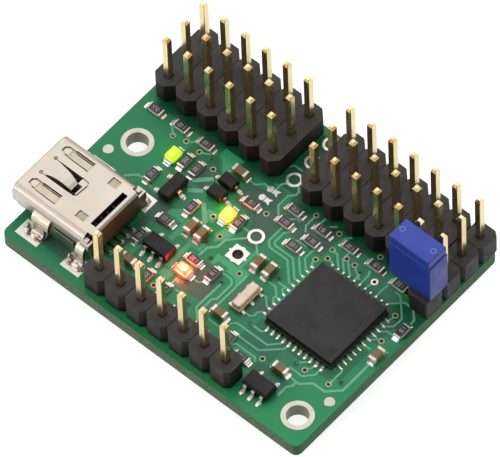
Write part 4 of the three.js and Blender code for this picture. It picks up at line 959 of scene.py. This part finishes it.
# dark metal for the lead roots by the chip's edge and for the socket's contacts: painted shade
LEAD_PAINTED_SHADE = surface("lead_painted_shade", lin((92, 92, 86)), 0.5, 0.9, vary=0.15, grain=3800, blotch=1500, bump=0.2)
mcu = Piece("microcontroller_contacts", [SILVER, LEAD_PAINTED_SHADE])
for k in range(11):
    o = (k - 5) * 0.655
    for s in (-1, 1):
        for ax in ("x", "y"):
            if ax == "x":
                x0, x1 = sorted((MC[0] + s * 4.24, MC[0] + s * 4.72))
                fillet(mcu, x0, x1, MC[1] + o - 0.15, MC[1] + o + 0.15, "x", s, 0.19, 0)
                x0, x1 = sorted((MC[0] + s * 3.96, MC[0] + s * 4.26))
                mcu.box(x0, x1, MC[1] + o - 0.11, MC[1] + o + 0.11, 0.02, 0.17, 1)
            else:
                y0, y1 = sorted((MC[1] + s * 4.24, MC[1] + s * 4.72))
                fillet(mcu, MC[0] + o - 0.185, MC[0] + o + 0.185, y0, y1, "y", s, 0.19, 0)
                y0, y1 = sorted((MC[1] + s * 3.96, MC[1] + s * 4.26))
                mcu.box(MC[0] + o - 0.11, MC[0] + o + 0.11, y0, y1, 0.02, 0.17, 1)
mcu.done(slot="solder_plating")
dot = Piece("microcontroller_index_mark", [CHIP_DARK])
dot.annulus(MC[0] + 0.2, MC[1] - 2.1, 0.36, 0.42, 0.89, 0.902, 0, 32, 0.004)
dot.disc(MC[0] + 3.2, MC[1] - 2.9, 0.3, 0.89, 0.9015, 0, 24)
dot.done(slot="chip_plastic")

# Resonator.
dress("resonator_base", RES_BASE, bevel=0.02)
dress("resonator_lid", LID, bevel=0.05, seg=3)
rz = Piece("resonator_terminals", [RES_EDGE, TIN])
rx, ry = 21.8, 9.05
for yo in (-1.22, 0.0, 1.22):
    for s in (-1, 1):
        x0, x1 = sorted((rx + s * 0.60, rx + s * 0.665))
        rz.box(x0, x1, ry + yo - 0.24, ry + yo + 0.24, 0.03, 0.46, 0)
rz.box(rx - 0.60, rx + 0.60, ry - 1.605, ry - 1.55, 0.18, 0.47, 1)
rz.box(rx - 0.60, rx + 0.60, ry + 1.55, ry + 1.605, 0.18, 0.47, 1)
rz.box(rx - 0.63, rx + 0.63, ry - 1.57, ry + 1.57, 0.47, 0.49, 0)
rz.done(slot="solder_plating")
for yo in (-1.22, 0.0, 1.22):
    for s in (-1, 1):
        x0, x1 = sorted((rx + s * 0.66, rx + s * 0.92))
        fillet(SOLDER, x0, x1, ry + yo - 0.22, ry + yo + 0.22, "x", s, 0.18, 0)

# Lamps.
for node, m, x, y, d in (("lamp_green", LAMP_G, 6.52, 16.4, "y"), ("lamp_yellow", LAMP_Y, 14.62, 14.72, "y"), ("lamp_red", LAMP_R, 15.5, 7.6, "x")):
    pc = Piece(node + "_lens", [GLOW[node], END_PAINTED_GLOW[node], m])

    def bb(a0, a1, b0, b1, z0, z1, mat, b=0.0):
        if d == "x":
            pc.box(x + a0, x + a1, y + b0, y + b1, z0, z1, mat, b)
        else:
            pc.box(x - b1, x - b0, y + a0, y + a1, z0, z1, mat, b)
    bb(-0.6, 0.6, -0.58, 0.58, 0.03, 0.26, 0, 0.03)
    for s in (-1, 1):
        e = sorted((s * 0.85, s * 0.55))
        bb(e[0], e[1], -0.5, 0.5, 0.02, 0.30, 1, 0.02)
    bb(-0.66, 0.66, -0.5, 0.5, 0.24, 0.8, 2, 0.14)
    pc.done(slot=node, replaces=[node], bevel=0.05, seg=3)
    chip_solder(x, y, d, L=0.85, w=0.44, reach=0.36, h=0.2)

# ------------------------------------------------------------------ headers and pins
for n in ("servo_housing_left", "servo_housing_right", "serial_housing", "power_housing"):
    dress(n, PLASTIC, bevel=0.05, angle=30)
for n in NODES:
    if n.startswith("channel_") or n.startswith("power_pin") or n.startswith("serial_pin"):
        dress(n, GOLD, bevel=0.03)

# Solder joints of the pins on the underside, and their rings.
under = Piece("underside_joints", [SILVER, TIN, DARK])
PINS = [(COL0_X + c * PITCH, ROW0_Y + r * PITCH) for c in range(13) if c != 6 for r in range(3)]
PINS += [(STRIP_X, STRIP_Y0 + r * PITCH) for r in range(4)] + [(SERIAL_X0 + c * PITCH, SERIAL_Y) for c in range(7)]
for x, y in PINS:
    under.annulus(x, y, 0.50, 0.86, -BT - 0.035, -BT - 0.001, 1, 24)
    n = 20
    prof = [(0.80, -BT - 0.036), (0.66, -BT - 0.12), (0.52, -BT - 0.34), (0.44, -BT - 0.66), (0.40, -BT - 0.86)]
    rings = []
    for r, z in prof:
        rings.append([(x + r * math.cos(-2 * math.pi * i / n), y + r * math.sin(-2 * math.pi * i / n), z) for i in range(n)])
    under.loft(rings, 0)
for x, y, square in [(COL0_X + 6 * PITCH, ROW0_Y + r * PITCH, False) for r in range(3)] + [(18.02, 14.74, False), (18.02, 12.2, True)]:
    under.annulus(x, y, 0.53, 0.82, -BT - 0.035, -BT - 0.001, 1, 32, square=square)
# on the underside too, dark discs over the bores: painted shade
for x, y, kind in VIAS:
    if kind:
        under.annulus(x, y, 0.175, 0.30, -BT - 0.03, -BT - 0.001, 1, 20)
        under.disc(x, y, 0.18, -BT - 0.012, -BT - 0.001, 2, 16)
o = under.done(slot="solder_plating")

# ------------------------------------------------------------------ USB socket
dress("usb_shell", STEEL, bevel=0.03, angle=40)
dress("usb_insulator", LCP, bevel=0.03)
# the socket's contacts take the dark lead metal: painted shade
for k in range(1, 6):
    dress(f"usb_contact_{k}", LEAD_PAINTED_SHADE, bevel=0.02)
UY = 6.42
usbp = Piece("usb_pads", [PADWHITE, LEADM])
for x0, x1 in ((0.86, 3.5), (6.35, 8.6)):
    usbp.box(x0, x1, 0.92, 2.74, 0.0, 0.04, 0, 0.01)
    usbp.box(x0, x1, 2 * UY - 2.74, 2 * UY - 0.98, 0.0, 0.04, 0, 0.01)
for k in range(-2, 3):
    usbp.box(8.2, 9.25, UY + 0.8 * k - 0.22, UY + 0.8 * k + 0.22, 0.0, 0.04, 1, 0.01)
usbp.done(slot="solder_plating")

# What shows behind the openings of the socket's lid: contact ends in the rear slot, and dark boxes as painted shade
# under the arms and the tongue.
ZU = 3.95
us = Piece("usb_inner_details", [DARK, SILVER, STEEL_DARK, STEEL_ARM])
for yc in (UY - 1.77, UY + 2.76):
    us.box(1.22, 3.43, yc - 0.13, yc + 0.13, ZU - 0.62, ZU - 0.42, 0)
for k, dz in ((-2, 0.0), (-1, 0.05), (0, -0.03), (1, 0.02)):
    us.box(7.33, 7.52, UY + 0.8 * k - 0.10, UY + 0.8 * k + 0.08, ZU - 0.86 + dz, ZU - 0.62 + dz, 1, 0.05)
# darker plates in the stamped squares: painted shade
for x0, x1, y0, y1 in ((5.64, 6.62, 2.05, 2.94), (5.70, 6.72, -2.48, -1.70)):
    us.box(x0, x1, UY + y0, UY + y1, ZU - 0.152, ZU - 0.125, 2, 0.01)
# slightly darker plates on the arms in their recesses: painted shade
for x0, x1, y0, y1 in ((0.93, 3.42, 1.93, 2.58), (0.93, 3.42, -2.66, -1.94)):
    us.box(x0, x1, UY + y0, UY + y1, ZU - 0.052, ZU - 0.034, 3, 0.006)
us.box(0.95, 3.6, UY - 0.97, UY - 0.42, ZU - 1.1, ZU - 0.95, 0)
# raised inner rim of the two arm slots
for yc in (UY - 1.77, UY + 2.76):
    us.box(1.3, 3.40, yc - 0.015, yc + 0.045, ZU - 0.40, ZU - 0.10, 3, 0.01)
for s in (-1, 1):
    # dark boxes inside the long side slits, one standing a little proud of the wall: painted shade
    y0, y1 = sorted((UY + s * 3.58, UY + s * 3.82))
    us.box(4.41, 7.11, y0, y1, 2.0, 2.19, 0)
    y0, y1 = sorted((UY + s * 3.70, UY + s * 3.866))
    us.box(4.43, 7.09, y0, y1, 1.99, 2.35, 0)
    y0, y1 = sorted((UY + s * 3.70, UY + s * 3.90))
    us.box(4.38, 6.62, y0, y1, 1.90, 1.965, 3, 0.01)
us.done(slot="socket_steel")
tab = Piece("usb_tab_tinning", [LUMP])
for x0, x1 in ((1.97, 3.96), (7.27, 8.23)):
    for s in (-1, 1):
        prof = [(3.862, 2.80), (4.06, 2.672), (4.272, 2.405), (4.384, 2.02), (4.394, 1.5), (4.39, 1.43), (4.3, 1.43), (4.3, 2.0), (4.2, 2.33), (4.0, 2.58), (3.862, 2.68)]
        rings = []
        for x in (x0, x1):
            r = [(x, UY + s * y, z) for y, z in prof]
            rings.append(r)
        if s > 0:
            rings = [list(reversed(r)) for r in rings]
        tab.loft(rings, 0)
tab.done(slot="socket_steel")


def blob(pc, x, y, rx, ry, h, seed, mat=0, n=22, m=6):
    """A lump of solder: a low dome with an uneven outline."""
    rnd = random.Random(seed)
    ph = [rnd.uniform(0, 6.28) for _ in range(4)]
    rings = []
    for k in range(m):
        t = k / m
        rr, z = math.cos(t * math.pi / 2) ** 0.8, 0.02 + h * math.sin(t * math.pi / 2)
        ring = []
        for i in range(n):
            a = 2 * math.pi * i / n
            q = 1 + 0.13 * math.sin(2 * a + ph[0]) + 0.08 * math.sin(3 * a + ph[1]) + 0.05 * math.sin(5 * a + ph[2] + t)
            ring.append((x + rx * rr * q * math.cos(a), y + ry * rr * q * math.sin(a), z * (1 + 0.12 * math.sin(2 * a + ph[3]))))
        rings.append(ring)
    pc.loft(rings, mat)


lumps = Piece("usb_solder_lumps", [LUMP])
for i, (x0, x1) in enumerate(((2.15, 3.42), (7.26, 8.2))):
    xm = (x0 + x1) / 2
    for s in (-1, 1):
        blob(lumps, xm + 0.02, UY + s * 4.66, 0.70, 0.40, 0.40, 3 + i + s)
        blob(lumps, x0 - 0.42, UY + s * 4.72, 0.40, 0.42, 0.46, 13 + i + s)
        blob(lumps, x0 - 0.66, UY + s * 4.36, 0.20, 0.30, 0.62, 43 + i + s)
        blob(lumps, xm + 0.1, UY + s * 4.96, 0.5, 0.14, 0.16, 33 + i + s)
for k in range(-2, 3):
    blob(lumps, 9.02, UY + 0.8 * k, 0.17, 0.17, 0.24, 61 + k)
lumps.done(slot="solder_plating", smooth=True)
for k in range(-2, 3):
    fillet(SOLDER, 8.98, 9.22, UY + 0.8 * k - 0.18, UY + 0.8 * k + 0.18, "x", 1, 0.16, 0)
SOLDER.done(slot="solder_plating", smooth=False)

# ------------------------------------------------------------------ shorting block
dress("shorting_block_housing", BLUE, bevel=0.05, angle=30)
dress("shorting_block_clip", GOLD, bevel=0.02)
# lighter rings in the two dimples on top: painted highlights
marks = Piece("shorting_block_dimple_highlights", [BLUE_DIMPLE_HIGHLIGHT])
for x, y in ((33.39 - 1.95, 19.75), (33.39 + 1.72, 19.75)):
    marks.annulus(x, y, 0.165, 0.33, 8.79, 8.872, 0, 24, 0.004)
marks.done(body="shorting_block", slot="blue_plastic")

# ------------------------------------------------------------------ stage
fl = bpy.data.meshes.new("floor")
S = 1.2
ZF = -0.00143
fl.from_pydata([(-S, -S, ZF), (S, -S, ZF), (S, S, ZF), (-S, S, ZF)], [], [(0, 1, 2, 3)])
floor = bpy.data.objects.new("floor", fl)
bpy.context.scene.collection.objects.link(floor)
fm = surface("floor_white", (0.42, 0.42, 0.42), 0.9, vary=0.006, grain=900, blotch=20, bump=0.02, spec=0.0)
fb = fm.node_tree.nodes["Principled BSDF"]
fb.inputs["Emission Color"].default_value = (1, 1, 1, 1)
fb.inputs["Emission Strength"].default_value = 0.84
floor.data.materials.append(fm)
floor.visible_diffuse = False

world = bpy.data.worlds.new("studio")
bpy.context.scene.world = world
world.use_nodes = True
bg = world.node_tree.nodes.get("Background") or world.node_tree.nodes.new("ShaderNodeBackground")
bg.inputs[0].default_value = (1.0, 0.99, 0.975, 1)
bg.inputs[1].default_value = 0.15
bpy.context.scene.view_settings.view_transform = "Standard"


def softbox(name, loc, target, size, power, color=(1, 1, 1)):
    d = bpy.data.lights.new(name, "AREA")
    d.shape = "RECTANGLE"
    d.size, d.size_y = size
    d.energy = power
    d.color = color
    o = bpy.data.objects.new(name, d)
    o.location = loc
    o.rotation_euler = (Vector(target) - Vector(loc)).to_track_quat("-Z", "Y").to_euler()
    bpy.context.scene.collection.objects.link(o)
    return o


softbox("key_back", (-0.18, 0.26, 0.50), (0, 0, 0), (0.92, 0.86), 3.7, (1.0, 0.985, 0.96))
softbox("fill_left", (-0.34, -0.30, 0.20), (0, 0, 0), (0.5, 0.34), 1.7, (1.0, 0.99, 0.97))
softbox("fill_right", (0.36, 0.30, 0.14), (0, 0, 0), (0.5, 0.3), 0.8, (1.0, 0.98, 0.96))


def lamp_light(name, x, y, z, power, color, soft=0.0004):
    d = bpy.data.lights.new(name, "POINT")
    d.energy = power
    d.color = color
    d.shadow_soft_size = soft
    o = bpy.data.objects.new(name, d)
    o.location = P(x, y, z)
    bpy.context.scene.collection.objects.link(o)


lamp_light("glow_red", 15.5, 7.6, 1.0, 1.05e-3, (1.0, 0.035, 0.02))
lamp_light("glow_yellow", 14.62, 14.72, 0.95, 3.4e-4, (1.0, 0.28, 0.01))
for i, (x, y, z, w) in enumerate(((15.3, 14.3, 0.5, 5.0e-5), (13.75, 15.1, 0.5, 5.0e-5))):
    lamp_light(f"glow_yellow_side_{i}", x, y, z, w, (1.0, 0.26, 0.01), 0.00008)
for i, (x, y, z, w) in enumerate(((15.5, 8.42, 0.5, 7.0e-5), (14.45, 7.7, 0.5, 6.0e-5), (15.5, 6.75, 0.5, 7.0e-5))):
    lamp_light(f"glow_red_side_{i}", x, y, z, w, (1.0, 0.04, 0.025), 0.00008)
lamp_light("glow_green", 6.52, 16.4, 1.25, 3.0e-5, (0.4, 1.0, 0.05))

cam = bpy.data.cameras.new("camera")
cam.sensor_width = 36.0
cam.lens = 788.15
cam.clip_start = 0.05
cam.clip_end = 10
co = bpy.data.objects.new("camera", cam)
R = [[0.752101891445288, 0.6586216946290474, -0.023668718773569852],
     [0.5433078934454506, -0.6399492084755963, -0.5433981445416657],
     [-0.37304058466108936, 0.39583137058022566, -0.8391413756097913]]
right, down, fwd = (Vector(v) for v in R)
m = Matrix((( right.x, -down.x, -fwd.x, 0.3711783), (right.y, -down.y, -fwd.y, -0.3936984), (right.z, -down.z, -fwd.z, 0.8384695), (0, 0, 0, 1)))
co.matrix_world = m
bpy.context.scene.collection.objects.link(co)
bpy.context.scene.camera = co
